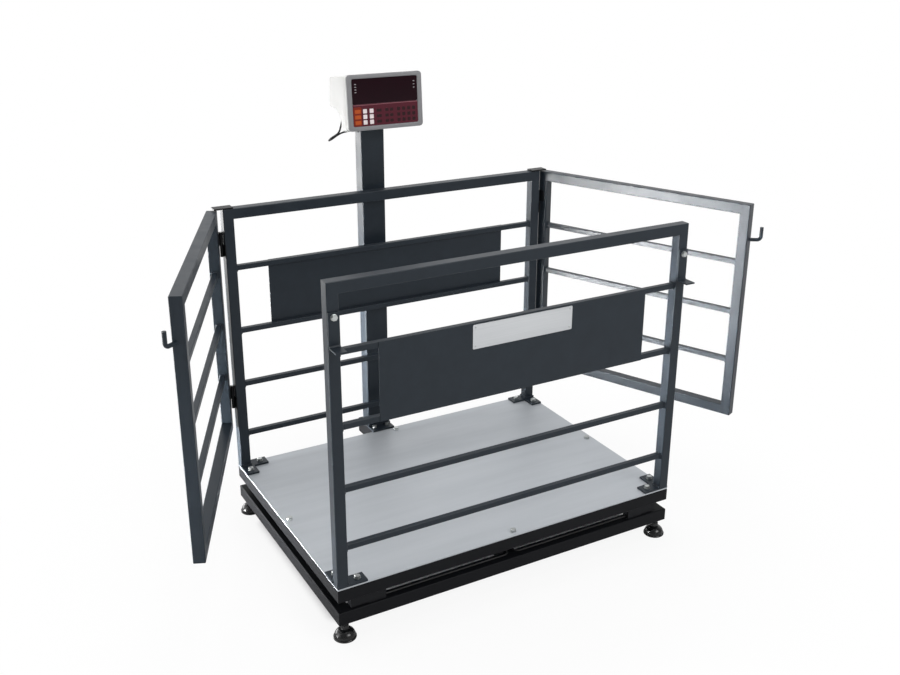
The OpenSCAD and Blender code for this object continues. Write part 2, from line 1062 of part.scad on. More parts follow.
// Bent strap hanging from its pivot at the origin, its back at y = 0
module latch_strap() {
    tab_y = tab_l - strap_t - bend_r;
    rotate([90, 0, 90])
        difference() {
            linear_extrude(strap_w, center = true) {
                translate([-strap_t, -strap_reach + bend_r])
                    square([strap_t, strap_reach - bend_r + strap_top]);
                translate([-strap_t - bend_r - tab_y, -strap_reach - strap_t])
                    square([tab_y, strap_t]);
                intersection() {
                    difference() {
                        translate([-strap_t - bend_r, -strap_reach + bend_r])
                            circle(bend_r + strap_t);
                        translate([-strap_t - bend_r, -strap_reach + bend_r])
                            circle(bend_r);
                    }
                    translate([-strap_t - bend_r, -strap_reach - strap_t])
                        square(bend_r + strap_t);
                }
            }
            rotate([0, 90, 0])
                cylinder(h = 2 * strap_t + 2 * overrun, d = pivot_d + 2 * running_fit, center = true);
        }
}

module right_latch_strap() {
    color("#23262a")
        translate([post_x, -half_w - side_play, latch_z])
            latch_strap();
}

module left_latch_strap() {
    mirror([1, 0, 0])
        right_latch_strap();
}

module latch_bolts() {
    seat_y = strap_t + 2 * side_play;
    color("#d2d5d8")
        for (sx = [-1, 1])
            translate([sx * post_x, -half_w, latch_z])
                rotate([90, 0, 0]) {
                    translate([0, 0, seat_y])
                        cylinder(h = pivot_washer_t, d = pivot_washer_d);
                    translate([0, 0, seat_y + pivot_washer_t])
                        hexagon(pivot_head_af, pivot_head_h);
                    translate([0, 0, -post_w - pivot_nut_h])
                        cylinder(h = post_w + pivot_nut_h + seat_y, d = pivot_d);
                    translate([0, 0, -post_w - pivot_nut_h])
                        hexagon(pivot_head_af, pivot_nut_h);
                }
}

// Two tubes with flat tops that carry the column behind the upper frame
module column_brackets() {
    depth = base_plate_y1 - half_w;
    color("#1b1c20")
        difference() {
            for (sx = [-1, 1])
                translate([column_x + sx * bracket_spread / 2 - bracket_w / 2, half_w, upper_z0])
                    cube([bracket_w, depth, frame_tube + bracket_top_t]);
            for (sx = [-1, 1])
                translate([column_x + sx * bracket_spread / 2 - bracket_w / 2 + frame_wall, half_w - overrun,
                        upper_z0 + frame_wall])
                    cube([bracket_w - 2 * frame_wall, depth - frame_wall + overrun, frame_tube - 2 * frame_wall]);
            at_column_bolts()
                translate([0, 0, upper_z1 - frame_wall - overrun])
                    cylinder(h = frame_wall + bracket_top_t + 2 * overrun, d = column_bolt_d);
        }
}

// Places of the four bolts of the column's base plate
module at_column_bolts() {
    for (sx = [-1, 1], y = [half_w + column_bolt_front, column_y1 + column_bolt_front])
        translate([column_x + sx * column_bolt_spread / 2, y, 0])
            children();
}

module column_base_plate() {
    color("#2e363d")
        difference() {
            translate([column_x - column_w / 2, base_plate_y0, deck_z])
                cube([column_w, base_plate_y1 - base_plate_y0, base_plate_t]);
            at_column_bolts()
                translate([0, 0, deck_z - overrun])
                    cylinder(h = base_plate_t + 2 * overrun, d = column_bolt_d + 2 * hole_play);
            translate([column_x, column_yc, deck_z - overrun])
                cylinder(h = base_plate_t + 2 * overrun, d = cable_hole_d);
        }
}

module column_bolts() {
    color("#d2d5d8")
        at_column_bolts()
            translate([0, 0, deck_z + base_plate_t])
                hex_bolt(column_bolt_d, column_bolt_af, column_bolt_head_h, column_bolt_washer_d, washer_t,
                    base_plate_t + bracket_top_t + frame_wall);
}

module column_tube() {
    color("#2e363d")
        difference() {
            translate([column_x, column_yc, deck_z + base_plate_t])
                linear_extrude(column_z1 - deck_z - base_plate_t)
                    tube_section(column_w, column_d, column_wall, column_r);
            at_grommet()
                cylinder(h = 4 * column_wall, d = grommet_d - 2 * grommet_t, center = true);
        }
}

module column_top_plate() {
    color("#2e363d")
        difference() {
            translate([column_x, column_yc, column_z1])
                linear_extrude(column_cap_t)
                    rounded_rect(column_w, column_d, column_r);
            at_indicator_screws()
                cylinder(h = 4 * column_cap_t, d = screw_d + 2 * running_fit, center = true);
        }
}

// Place of the cable grommet in the column's left face, Z pointing outwards
module at_grommet() {
    translate([column_x - column_w / 2, column_yc, housing_step_z - grommet_drop])
        rotate([0, -90, 0])
            children();
}

// Places of the two screws through the housing's floor into the column's top plate
module at_indicator_screws() {
    for (sx = [-1, 1])
        translate([column_x + sx * screw_spread / 2, column_yc, housing_step_z])
            children();
}

// The bezel's own frame: X to the right, Y up its slope, Z out of its face
module bezel_frame() {
    translate([column_x, bezel_y, bezel_z])
        rotate([90 - indicator_tilt, 0, 0])
            children();
}

// Side view of the housing in Y and Z, set in from its outside by a wall, with the scooped underside
module housing_side(inset) {
    lean = tan(indicator_tilt);
    face_y = bezel_y + (bezel_t + bezel_seat) / cos(indicator_tilt) + inset;
    top_z = bezel_z + indicator_h * cos(indicator_tilt) - housing_front_drop - inset;
    rear_y = column_y0 + housing_rear_depth - inset;
    heel_y = scoop_y - scoop_r - inset;
    difference() {
        polygon([
            [face_y + inset * lean, bezel_z + inset],
            [face_y + (top_z - bezel_z) * lean, top_z],
            [rear_y - housing_rear_lean, top_z - housing_top_fall],
            [rear_y, housing_step_z + inset],
            [scoop_y, housing_step_z + inset],
            [heel_y, scoop_z],
            [heel_y, bezel_z - housing_heel_drop + inset],
            [column_y0 - housing_belly_ahead, bezel_z - housing_belly_drop + inset]
        ]);
        translate([scoop_y, scoop_z])
            circle(scoop_r + inset);
    }
}

// Block across the crate with the housing's side view, set in by a wall
module housing_block(inset) {
    translate([column_x, 0, 0])
        rotate([90, 0, 90])
            linear_extrude(indicator_w - 2 * inset, center = true)
                housing_side(inset);
}

// Hollow housing with a seat for the column's top
module indicator_housing() {
    color("#f0f0f0")
        difference() {
            housing_block(0);
            housing_block(housing_wall);
            translate([column_x, column_yc, 0])
                linear_extrude(housing_step_z)
                    square([column_w + 2 * side_play, column_d + 2 * side_play], center = true);
            at_indicator_screws()
                cylinder(h = 4 * housing_wall, d = screw_d + 2 * hole_play, center = true);
            at_gland()
                cylinder(h = 4 * housing_wall, d = cord_d, center = true);
        }
}

module indicator_bezel() {
    face_w = indicator_w - 2 * panel_margin_side;
    face_h = indicator_h - 2 * panel_margin_end;
    color("#8b8b8d")
        bezel_frame()
            translate([0, indicator_h / 2, -bezel_t])
                difference() {
                    linear_extrude(bezel_t)
                        rounded_rect(indicator_w, indicator_h, bezel_r);
                    translate([0, 0, bezel_t - panel_recess])
                        linear_extrude(panel_recess + overrun)
                            rounded_rect(face_w, face_h, panel_corner_r);
                }
}

module display_window() {
    face_w = indicator_w - 2 * panel_margin_side;
    face_h = indicator_h - 2 * panel_margin_end;
    height = face_h * window_share;
    color("#240b10")
        bezel_frame()
            translate([0, indicator_h - panel_margin_end - height / 2, -panel_recess])
                linear_extrude(window_t)
                    rounded_rect(face_w - 2 * seam, height - 2 * seam, panel_corner_r - seam);
}

module keypad() {
    face_w = indicator_w - 2 * panel_margin_side;
    face_h = indicator_h - 2 * panel_margin_end;
    height = face_h * (1 - window_share);
    color("#7a2430")
        bezel_frame()
            translate([0, panel_margin_end + height / 2, -panel_recess])
                linear_extrude(keypad_t)
                    rounded_rect(face_w - 2 * seam, height - 2 * seam, panel_corner_r - seam);
}

// Circuit board on four posts behind the housing's front wall
module indicator_board() {
    board_y = -bezel_t - housing_wall - 2 * bezel_seat - board_stand - board_t;
    color("#1f5a36")
        bezel_frame()
            translate([0, indicator_h / 2, board_y]) {
                translate([-board_w / 2, -board_h / 2, 0])
                    cube([board_w, board_h, board_t]);
                for (sx = [-1, 1], sy = [-1, 1])
                    translate([sx * standoff_spread[0] / 2, sy * standoff_spread[1] / 2, board_t])
                        cylinder(h = board_stand, d = standoff_d);
            }
}

module indicator_battery() {
    rear_y = column_y0 + housing_rear_depth - housing_wall;
    color("#2b2c30")
        translate([column_x - battery[0] / 2, rear_y - battery_gap - battery[1], housing_step_z + housing_wall])
            cube(battery);
}

module indicator_screws() {
    color("#d2d5d8")
        at_indicator_screws() {
            translate([0, 0, housing_wall])
                cylinder(h = screw_head_h, d = screw_head_d);
            translate([0, 0, -column_cap_t - screw_grip])
                cylinder(h = column_cap_t + screw_grip + housing_wall, d = screw_d);
        }
}

// Place of the cable gland under the housing's overhang, Z pointing down
module at_gland() {
    translate([column_x - column_w / 2 - gland_out, column_yc - gland_ahead, housing_step_z])
        rotate([180, 0, 0])
            children();
}

module cable_gland() {
    color("#151517")
        at_gland()
            difference() {
                cylinder(h = gland_body_l, d = gland_body_d);
                translate([0, 0, -overrun])
                    cylinder(h = gland_body_l + 2 * overrun, d = cord_d);
            }
}

module cable_grommet() {
    color("#151517")
        at_grommet()
            difference() {
                cylinder(h = grommet_t, d = grommet_d);
                translate([0, 0, -overrun])
                    cylinder(h = grommet_t + 2 * overrun, d = cord_d);
            }
}

module indicator_cable() {
    color("#151517")
        translate([column_x - column_w / 2 - grommet_t, column_yc, housing_step_z - grommet_drop])
            tube_along(cord_route, cord_d, cord_sides, cord_ref);
}

base_long_rails();
base_side_rails();
base_cross_member();
foot_bosses();
foot_lock_nuts();
foot_front_left();
foot_front_right();
foot_rear_left();
foot_rear_right();
load_cells();
load_cell_base_pads();
load_cell_top_pads();
load_cell_bolts();
junction_box();
junction_box_lid();
junction_box_glands();
load_cell_cables();
signal_cable();
deck_long_rails();
deck_side_rails();
deck_cross_members();
deck_plate();
deck_bolts();
post_foot_plates();
foot_plate_bolts();
panel_posts();
panel_top_rails();
panel_bars();
panel_sheets();
post_top_plates();
post_hinge_halves();
hinge_pins();
left_gate_stiles();
left_gate_rails();
left_gate_bars();
left_gate_hinge_halves();
left_gate_hook();
right_gate_stiles();
right_gate_rails();
right_gate_bars();
right_gate_hinge_halves();
right_gate_hook();
left_latch_strap();
right_latch_strap();
latch_bolts();
column_brackets();
column_base_plate();
column_bolts();
column_tube();
column_top_plate();
indicator_housing();
indicator_bezel();
display_window();
keypad();
indicator_board();
indicator_battery();
indicator_screws();
cable_gland();
cable_grommet();
indicator_cable();
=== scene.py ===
"""Livestock weighing crate: finishes, weld beads, fasteners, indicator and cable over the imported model."""
import json
import logging
import math
from dataclasses import dataclass, field
from enum import Enum
from typing import Any, Iterable, Sequence

import bmesh
import bpy
from mathutils import Matrix, Vector

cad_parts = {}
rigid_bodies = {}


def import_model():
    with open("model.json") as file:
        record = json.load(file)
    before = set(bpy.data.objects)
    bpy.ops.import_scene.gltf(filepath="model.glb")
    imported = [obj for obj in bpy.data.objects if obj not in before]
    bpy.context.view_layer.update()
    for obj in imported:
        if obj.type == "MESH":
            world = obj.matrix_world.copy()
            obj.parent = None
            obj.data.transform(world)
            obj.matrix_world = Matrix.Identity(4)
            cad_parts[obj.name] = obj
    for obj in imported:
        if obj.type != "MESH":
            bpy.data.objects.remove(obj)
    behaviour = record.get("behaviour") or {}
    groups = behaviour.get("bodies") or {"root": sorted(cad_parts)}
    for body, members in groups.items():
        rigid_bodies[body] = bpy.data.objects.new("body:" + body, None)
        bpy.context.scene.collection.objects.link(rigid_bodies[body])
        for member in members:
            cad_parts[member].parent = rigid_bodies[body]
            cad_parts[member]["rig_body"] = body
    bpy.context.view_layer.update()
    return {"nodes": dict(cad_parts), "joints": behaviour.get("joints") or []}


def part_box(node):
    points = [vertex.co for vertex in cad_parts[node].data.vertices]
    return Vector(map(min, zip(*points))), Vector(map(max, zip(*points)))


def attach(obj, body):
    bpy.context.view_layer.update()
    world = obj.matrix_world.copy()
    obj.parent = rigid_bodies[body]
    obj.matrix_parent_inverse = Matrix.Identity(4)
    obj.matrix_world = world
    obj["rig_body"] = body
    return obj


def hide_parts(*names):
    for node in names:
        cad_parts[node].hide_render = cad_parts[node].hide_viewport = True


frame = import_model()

LOG = logging.getLogger("weighing_crate")
MM = 0.001
# Distance in metres below which vertices are merged
MERGE_GAP = 1e-6
# Faces that turn by less count as one flat face
FLAT_DEG = 0.5
# Edges that turn by more stay sharp
SMOOTH_DEG = 35.0
# Colour sockets of a Mix node, whose other data types use the same names
MIX_A = 6
MIX_B = 7
MIX_RESULT = 2
Flat = tuple[float, float]
Point = tuple[float, float, float]
Loop = list[Vector]
Shape = bmesh.types.BMesh
Piece = bpy.types.Object


class Body(str, Enum):
    """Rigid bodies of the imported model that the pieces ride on."""

    CRATE = "crate"
    LEFT_GATE = "left_gate"
    RIGHT_GATE = "right_gate"
    LEFT_LATCH = "left_latch"
    RIGHT_LATCH = "right_latch"
    FRONT_LEFT_FOOT = "front_left_foot"
    FRONT_RIGHT_FOOT = "front_right_foot"
    REAR_LEFT_FOOT = "rear_left_foot"
    REAR_RIGHT_FOOT = "rear_right_foot"


def linear(hex_colour: str) -> tuple[float, float, float, float]:
    """Turn an sRGB hex colour to linear RGBA.

    Args:
        hex_colour: six hex digits with a leading hash.

    Returns:
        Linear red, green, blue and an alpha of 1.
    """
    parts = [int(hex_colour[i:i + 2], 16) / 255 for i in (1, 3, 5)]
    red, green, blue = (c / 12.92 if c <= 0.04045 else ((c + 0.055) / 1.055) ** 2.4 for c in parts)
    return red, green, blue, 1.0


def add(tree: bpy.types.NodeTree, kind: str, inputs: dict | None = None, **settings: Any) -> bpy.types.Node:
    """Add one node to a tree.

    Args:
        tree: shader or geometry tree.
        kind: the node's type name.
        inputs: socket names or numbers, each with a value, an output to link, or a node whose first output
            is linked.
        settings: properties set on the node before its sockets.

    Returns:
        The new node.
    """
    node = tree.nodes.new(kind)
    for key, value in settings.items():
        setattr(node, key, value)
    for key, value in (inputs or {}).items():
        if isinstance(value, bpy.types.Node):
            value = value.outputs[0]
        if isinstance(value, bpy.types.NodeSocket):
            tree.links.new(value, node.inputs[key])
        else:
            node.inputs[key].default_value = value
    return node


@dataclass(frozen=True)
class Finish:
    """A surface finish: shader constants with colour drift, roughness drift and a fine relief.

    Grain sizes are real sizes in millimetres, turned into texture scales on Object coordinates.
    """

    name: str
    slot: str
    colour: str
    drift_colour: str
    roughness: float
    roughness_drift: float = 0.06
    metallic: float = 0.0
    ior: float = 1.5
    specular: float = 0.5
    drift_mm: float = 90.0
    stretch: Point = (1.0, 1.0, 1.0)
    grain_mm: float = 3.0
    grain_depth_mm: float = 0.03
    grain_strength: float = 0.2
    ridge_pitch_mm: float = 0.0

    def material(self) -> bpy.types.Material:
        """Return this finish as a node material, made once."""
        known = bpy.data.materials.get(self.name)
        if known:
            return known
        mat = bpy.data.materials.new(self.name)
        mat.use_nodes = True
        tree = mat.node_tree
        tree.nodes.clear()
        spot = add(tree, "ShaderNodeTexCoord").outputs["Object"]
        drawn = add(tree, "ShaderNodeMapping", {"Vector": spot, "Scale": self.stretch}).outputs["Vector"]
        drift = add(tree, "ShaderNodeTexNoise", {
            "Vector": drawn, "Scale": 1 / (self.drift_mm * MM), "Detail": 4.0, "Roughness": 0.6})
        tone = add(tree, "ShaderNodeMix", {
            "Factor": drift.outputs["Fac"], MIX_A: linear(self.colour), MIX_B: linear(self.drift_colour)},
            data_type="RGBA")
        gloss = add(tree, "ShaderNodeMapRange", {
            "Value": drift.outputs["Fac"], "From Min": 0.25, "From Max": 0.75,
            "To Min": self.roughness - self.roughness_drift,
            "To Max": self.roughness + self.roughness_drift})
        relief = add(tree, "ShaderNodeTexNoise", {
            "Vector": spot, "Scale": 1 / (self.grain_mm * MM), "Detail": 2.0}).outputs["Fac"]
        if self.ridge_pitch_mm:
            # A turn of a wave texture is 2 pi / 20 of a unit at scale 1
            relief = add(tree, "ShaderNodeTexWave", {
                "Vector": spot, "Scale": math.pi / 10 / (self.ridge_pitch_mm * MM), "Distortion": 0.0},
                bands_direction="Z").outputs["Fac"]
        bump = add(tree, "ShaderNodeBump", {
            "Height": relief, "Strength": self.grain_strength, "Distance": self.grain_depth_mm * MM})
        shader = add(tree, "ShaderNodeBsdfPrincipled", {
            "Base Color": tone.outputs[MIX_RESULT], "Roughness": gloss, "Metallic": self.metallic,
            "IOR": self.ior, "Specular IOR Level": self.specular, "Normal": bump})
        add(tree, "ShaderNodeOutputMaterial", {"Surface": shader})
        return mat


def ink(name: str, colour: str, drift_colour: str) -> Finish:
    """Finish of a key, field or line printed on the membrane."""
    return Finish(name, "keypad_red", colour, drift_colour, 0.4, specular=0.2, drift_mm=12.0, grain_mm=0.9)


# Satin polyester powder coat, anthracite: orange peel a few millimetres wide, drawn coarse enough to show
PANEL_COAT = Finish("anthracite_powder_coat", "panel_paint", "#1f262d", "#283038", 0.36, specular=0.24,
                    drift_mm=60.0, grain_mm=4.0)
# The same coat in black on both frames and the column's brackets
FRAME_COAT = Finish("black_powder_coat", "frame_paint", "#101114", "#17181b", 0.42, specular=0.1,
                    grain_mm=4.0)
# Brushed-on black enamel of the hinges and the rear posts' top plates, with brush drift
HINGE_ENAMEL = Finish("black_enamel", "hinge_black", "#101113", "#17181a", 0.36, specular=0.18,
                      drift_mm=30.0)
# Bare cold-rolled sheet steel: long streaks along the rolling direction and dull handling patches
ROLLED_STEEL = Finish("rolled_steel_sheet", "deck_steel", "#c4c8cd", "#b1b6bb", 0.5, 0.08, metallic=0.35,
                      drift_mm=160.0, stretch=(0.25, 2.4, 1.0), grain_mm=1.6, grain_depth_mm=0.02)
# Bright zinc plate on fasteners, pins and bosses: patchy blue-white passivation
ZINC_PLATE = Finish("bright_zinc_plate", "zinc", "#c4c8cb", "#b0b3ae", 0.32, metallic=1.0, drift_mm=8.0,
                    grain_mm=1.0, grain_depth_mm=0.01)
# Near-black finish of the load cells, their pads and bolts: painted shade, dark like the shaded recess
# between the frames where they sit
RECESS_SHADE_STEEL = Finish("recess_shade_steel", "cell_steel", "#17181a", "#202124", 0.45, specular=0.1,
                         drift_mm=25.0)
# Glass-filled nylon pad with a moulded gloss
NYLON_PAD = Finish("moulded_black_nylon", "foot_black", "#0c0d0e", "#131416", 0.26, drift_mm=20.0,
                   grain_mm=1.2)
# Black oxide on the lock nuts
BLACK_OXIDE = Finish("black_oxide_nut", "foot_black", "#101113", "#17181a", 0.36, specular=0.3,
                     drift_mm=9.0)
# Black-oxide stud: rolled thread shown as ridges at its pitch
BLACK_STUD = Finish("black_oxide_thread", "foot_black", "#26272a", "#323438", 0.38, metallic=0.9,
                    drift_mm=9.0, ridge_pitch_mm=2.0, grain_depth_mm=0.8, grain_strength=0.9)
# Moulded ABS boxes and covers, and nylon glands
GREY_ABS = Finish("moulded_grey_abs", "box_grey", "#9b9ea2", "#92959a", 0.5, grain_mm=1.2)
BLACK_NYLON = Finish("moulded_gland_nylon", "gland_black", "#161719", "#1f2023", 0.45, drift_mm=15.0,
                     grain_mm=1.0)
WHITE_ABS = Finish("moulded_white_abs", "housing_white", "#e6e6e4", "#e0e0de", 0.5, specular=0.1,
                   drift_mm=120.0, grain_mm=1.4, grain_depth_mm=0.015)
BEZEL_ABS = Finish("moulded_grey_bezel", "bezel_grey", "#8e8e90", "#868689", 0.42, specular=0.2,
                   drift_mm=70.0, grain_mm=1.2, grain_depth_mm=0.02)
# Soft PVC of the cable jackets and the grommet
CABLE_PVC = Finish("black_pvc_jacket", "cable_black", "#141416", "#1d1d20", 0.48, drift_mm=25.0,
                   grain_mm=1.2)
# Tinted acrylic over the unlit display: smooth, with faint smears in its gloss
TINTED_ACRYLIC = Finish("tinted_acrylic", "window_dark", "#220812", "#19070f", 0.12, 0.04, specular=0.12,
                        drift_mm=45.0, grain_mm=20.0, grain_depth_mm=0.005, grain_strength=0.05)
# Back-printed polyester membrane: satin, embossed at the keys
RED_MEMBRANE = Finish("printed_red_membrane", "keypad_red", "#561526", "#4d1322", 0.4, specular=0.2,
                      drift_mm=40.0, grain_mm=0.9)
ORANGE_PRINT = ink("printed_orange_key", "#c0551f", "#b34c1a")
ORANGE_FIELD = ink("printed_orange_field", "#84280f", "#78230d")
WHITE_PRINT = ink("printed_white_key", "#f6ecec", "#efe3e3")
DARK_PRINT = ink("printed_dark_key", "#2b0810", "#23060c")
PINK_PRINT = ink("printed_pale_line", "#a9727a", "#9d666f")
# Unlit lamp marks on the window
LAMP_PRINT = Finish("unlit_lamp_mark", "window_dark", "#b9b4b8", "#a8a3a7", 0.3, drift_mm=6.0, grain_mm=0.9)
# Solder-masked circuit board and battery case inside the indicator
BOARD_MASK = Finish("green_solder_mask", "board_green", "#1f5a36", "#1a4f2f", 0.35, drift_mm=20.0,
                    grain_mm=2.0)
BATTERY_CASE = Finish("moulded_battery_case", "battery_black", "#2b2c30", "#343539", 0.5, grain_mm=1.5)
# Plain anodised aluminium plate, brushed lengthwise
BRUSHED_PLATE = Finish("brushed_aluminium_plate", "zinc", "#d6d8da", "#c6c9cc", 0.36, 0.08, metallic=1.0,
                       drift_mm=14.0, stretch=(0.06, 1.0, 6.0), grain_mm=1.0, grain_depth_mm=0.01)


def dress(finish: Finish, *nodes: str) -> None:
    """Give CAD nodes a finish.

    Args:
        finish: the finish of all of them.
        nodes: names of the nodes.
    """
    for name in nodes:
        data = frame["nodes"][name].data
        data.materials.clear()
        data.materials.append(finish.material())
        LOG.info("%s: %s", name, finish.name)


def place(piece: Piece, body: Body, finish: Finish, *replaced: str) -> Piece:
    """Let a finished piece ride on a body and stand for CAD nodes.

    Args:
        piece: object at the origin with its place in its mesh.
        body: the body it rides on.
        finish: not used.
        replaced: CAD nodes that the piece stands for.

    Returns:
        The piece.
    """
    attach(piece, body.value)
    if replaced:
        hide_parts(*replaced)
    LOG.info("%s rides on %s", piece.name, body.value)
    return piece


def new_object(name: str, data: bpy.types.ID) -> Piece:
    """Link a new object that holds the given data to the scene."""
    piece = bpy.data.objects.new(name, data)
    bpy.context.scene.collection.objects.link(piece)
    return piece


def from_bmesh(name: str, shape: Shape, *finishes: Finish, flat: bool = False) -> Piece:
    """Turn a bmesh into an object with finishes and edges kept sharp above an angle.

    Args:
        name: name of the piece.
        shape: closed shape in the row frame, in metres; it is freed.
        finishes: one finish for each material number of the faces.
        flat: faces keep their own normals, as plates with narrow broken edges do.

    Returns:
        The new object.
    """
    data = bpy.data.meshes.new(name)
    shape.normal_update()
    for edge in shape.edges:
        edge.smooth = len(edge.link_faces) == 2 and edge.calc_face_angle(0.0) < math.radians(SMOOTH_DEG)
    for face in shape.faces:
        face.smooth = not flat
    shape.to_mesh(data)
    shape.free()
    for finish in finishes:
        data.materials.append(finish.material())
    return new_object(name, data)


def bevel_sharp(shape: Shape, width_mm: float, segments: int = 3, least_deg: float = 40.0) -> None:
    """Round all edges of a shape that turn by more than an angle."""
    shape.normal_update()
    least = math.radians(least_deg)
    sharp = [e for e in shape.edges if len(e.link_faces) == 2 and e.calc_face_angle(0.0) > least]
    bmesh.ops.bevel(shape, geom=sharp, offset=width_mm * MM, segments=segments, profile=0.5, affect="EDGES",
                    clamp_overlap=True)


def softened(node: str, finish: Finish, width_mm: float) -> Piece:
    """Replace a CAD node by a copy whose sharp edges are broken.

    Args:
        node: name of the CAD node.
        finish: its finish.
        width_mm: width of the broken edge.

    Returns:
        The piece that stands for the node.
    """
    shape = bmesh.new()
    shape.from_mesh(frame["nodes"][node].data)
    bmesh.ops.remove_doubles(shape, verts=shape.verts, dist=MERGE_GAP)
    bmesh.ops.dissolve_limit(shape, angle_limit=math.radians(FLAT_DEG), verts=shape.verts, edges=shape.edges)
    bevel_sharp(shape, width_mm, segments=2)
    for face in shape.faces:
        face.material_index = 0
    piece = from_bmesh(node + "_finished", shape, finish, flat=True)
    return place(piece, Body(frame["nodes"][node]["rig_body"]), finish, node)


def join(shape: Shape, part: Shape, number: int = 0) -> None:
    """Add a part to a shape under a material number and free the part."""
    for face in part.faces:
        face.material_index = number
    data = bpy.data.meshes.new("joined_part")
    part.to_mesh(data)
    part.free()
    shape.from_mesh(data)
    bpy.data.meshes.remove(data)


def lofted(levels: Sequence[tuple[Sequence[Flat], float]], to_row: Matrix) -> Shape:
    """Join flat outlines at several levels into one closed shape.

    Args:
        levels: outlines in X and Y of their own frame, with equal counts of points, and their Z, in metres.
        to_row: the frame's place in the row.

    Returns:
        The closed shape, in the row frame.
    """
    shape = bmesh.new()
    rings = [[shape.verts.new(to_row @ Vector((x, y, z))) for x, y in ring] for ring, z in levels]
    shape.faces.new(reversed(rings[0]))
    shape.faces.new(rings[-1])
    count = len(rings[0])
    for low, high in zip(rings, rings[1:]):
        for i in range(count):
            j = (i + 1) % count
            shape.faces.new((low[i], low[j], high[j], high[i]))
    bmesh.ops.recalc_face_normals(shape, faces=shape.faces)
    return shape


def prism(outline: Sequence[Flat], low: float, high: float, to_row: Matrix) -> Shape:
    """Closed shape that keeps one outline from a lower to an upper level of its own frame."""
    return lofted(((outline, low), (outline, high)), to_row)


def rounded_outline(width: float, height: float, radius: float, arc: int = 8) -> list[Flat]:
    """Outline of a round-cornered rectangle about the origin, anticlockwise."""
    points = []
    for turn, (sx, sy) in enumerate(((1, 1), (-1, 1), (-1, -1), (1, -1))):
        for k in range(arc + 1):
            angle = math.radians(90 * turn + 90 * k / arc)
            points.append((sx * (width / 2 - radius) + radius * math.cos(angle),
                           sy * (height / 2 - radius) + radius * math.sin(angle)))
    return points


def filleted(turns: Sequence[tuple[Flat, float]], arc: int = 10) -> list[Flat]:
    """Round the corners of a closed flat path.

    Args:
        turns: each corner and the radius of its arc, in metres.
        arc: steps of each arc.

    Returns:
        Points along the path with an arc in place of each corner.
    """
    points = []
    for i, (corner, radius) in enumerate(turns):
        here = Vector(corner)
        before = (Vector(turns[i - 1][0]) - here).normalized()
        after = (Vector(turns[(i + 1) % len(turns)][0]) - here).normalized()
        half = before.angle(after) / 2
        centre = here + (before + after).normalized() * radius / math.sin(half)
        start = here + before * radius / math.tan(half) - centre
        end = here + after * radius / math.tan(half) - centre
        for k in range(arc + 1):
            spoke = start.slerp(end, k / arc)
            points.append(tuple(centre + spoke.normalized() * radius))
    return points


def turned(profile: Sequence[Flat], to_row: Matrix, sides: int = 64) -> Shape:
    """Make a turned piece from a profile.

    Args:
        profile: radius and height of each ring, from one end on the axis to the other, in metres.
        to_row: the axis's place in the row.
        sides: facets round the axis.

    Returns:
        The closed shape, in the row frame.
    """
    shape = bmesh.new()
    rings = []
    for radius, height in profile:
        count = sides if radius > 0 else 1
        rings.append([shape.verts.new(to_row @ Vector((radius * math.cos(2 * math.pi * k / sides),
                                                       radius * math.sin(2 * math.pi * k / sides), height)))
                      for k in range(count)])
    for low, high in zip(rings, rings[1:]):
        for k in range(sides):
            j = (k + 1) % sides
            quad = [low[k % len(low)], low[j % len(low)], high[j % len(high)], high[k % len(high)]]
            shape.faces.new(list(dict.fromkeys(quad)))
    bmesh.ops.recalc_face_normals(shape, faces=shape.faces)
    return shape


@dataclass
class NodeTool:
    """A geometry tree with named inputs that is run on a host mesh and turned to a plain mesh."""

    name: str
    tree: bpy.types.NodeTree = field(init=False)

    def __post_init__(self) -> None:
        """Start the tree with its geometry sockets."""
        self.tree = bpy.data.node_groups.new(self.name, "GeometryNodeTree")
        self.tree.interface.new_socket("Geometry", in_out="INPUT", socket_type="NodeSocketGeometry")
        self.tree.interface.new_socket("Geometry", in_out="OUTPUT", socket_type="NodeSocketGeometry")

    def sizes(self, **defaults: float) -> bpy.types.Node:
        """Add named inputs and return the group's input node.

        Args:
            defaults: input names and their values; a whole number makes an integer socket.

        Returns:
            The Group Input node.
        """
        for name, value in defaults.items():
            kind = "NodeSocketInt" if isinstance(value, int) else "NodeSocketFloat"
            socket = self.tree.interface.new_socket(name, in_out="INPUT", socket_type=kind)
            socket.default_value = value
        self.tree.interface.new_socket("Finish", in_out="INPUT", socket_type="NodeSocketMaterial")
        return add(self.tree, "NodeGroupInput")

    def close(self, instances: bpy.types.Node, finish: bpy.types.NodeSocket) -> None:
        """End the tree in real, dressed geometry."""
        real = add(self.tree, "GeometryNodeRealizeInstances", {"Geometry": instances})
        dressed = add(self.tree, "GeometryNodeSetMaterial", {"Geometry": real, "Material": finish})
        add(self.tree, "NodeGroupOutput", {"Geometry": dressed})

    def run(self, name: str, host: bpy.types.Mesh, finish: Finish, **values: float) -> Piece:
        """Run the tree on a host mesh.

        Args:
            name: name of the piece.
            host: mesh that the tree reads.
            finish: finish of the result.
            values: input names and the values they take.

        Returns:
            An object that holds the result as a plain mesh, with no modifier.
        """
        carrier = new_object(name + "_host", host)
        modifier = carrier.modifiers.new(self.name, "NODES")
        modifier.node_group = self.tree
        known = {s.name: s.identifier for s in self.tree.interface.items_tree if s.in_out == "INPUT"}
        for key, value in values.items():
            modifier[known[key]] = value
        modifier[known["Finish"]] = finish.material()
        bpy.context.view_layer.update()
        evaluated = carrier.evaluated_get(bpy.context.evaluated_depsgraph_get())
        data = bpy.data.meshes.new_from_object(evaluated)
        carrier.modifiers.remove(modifier)
        bpy.data.objects.remove(carrier)
        data.name = name
        return new_object(name, data)


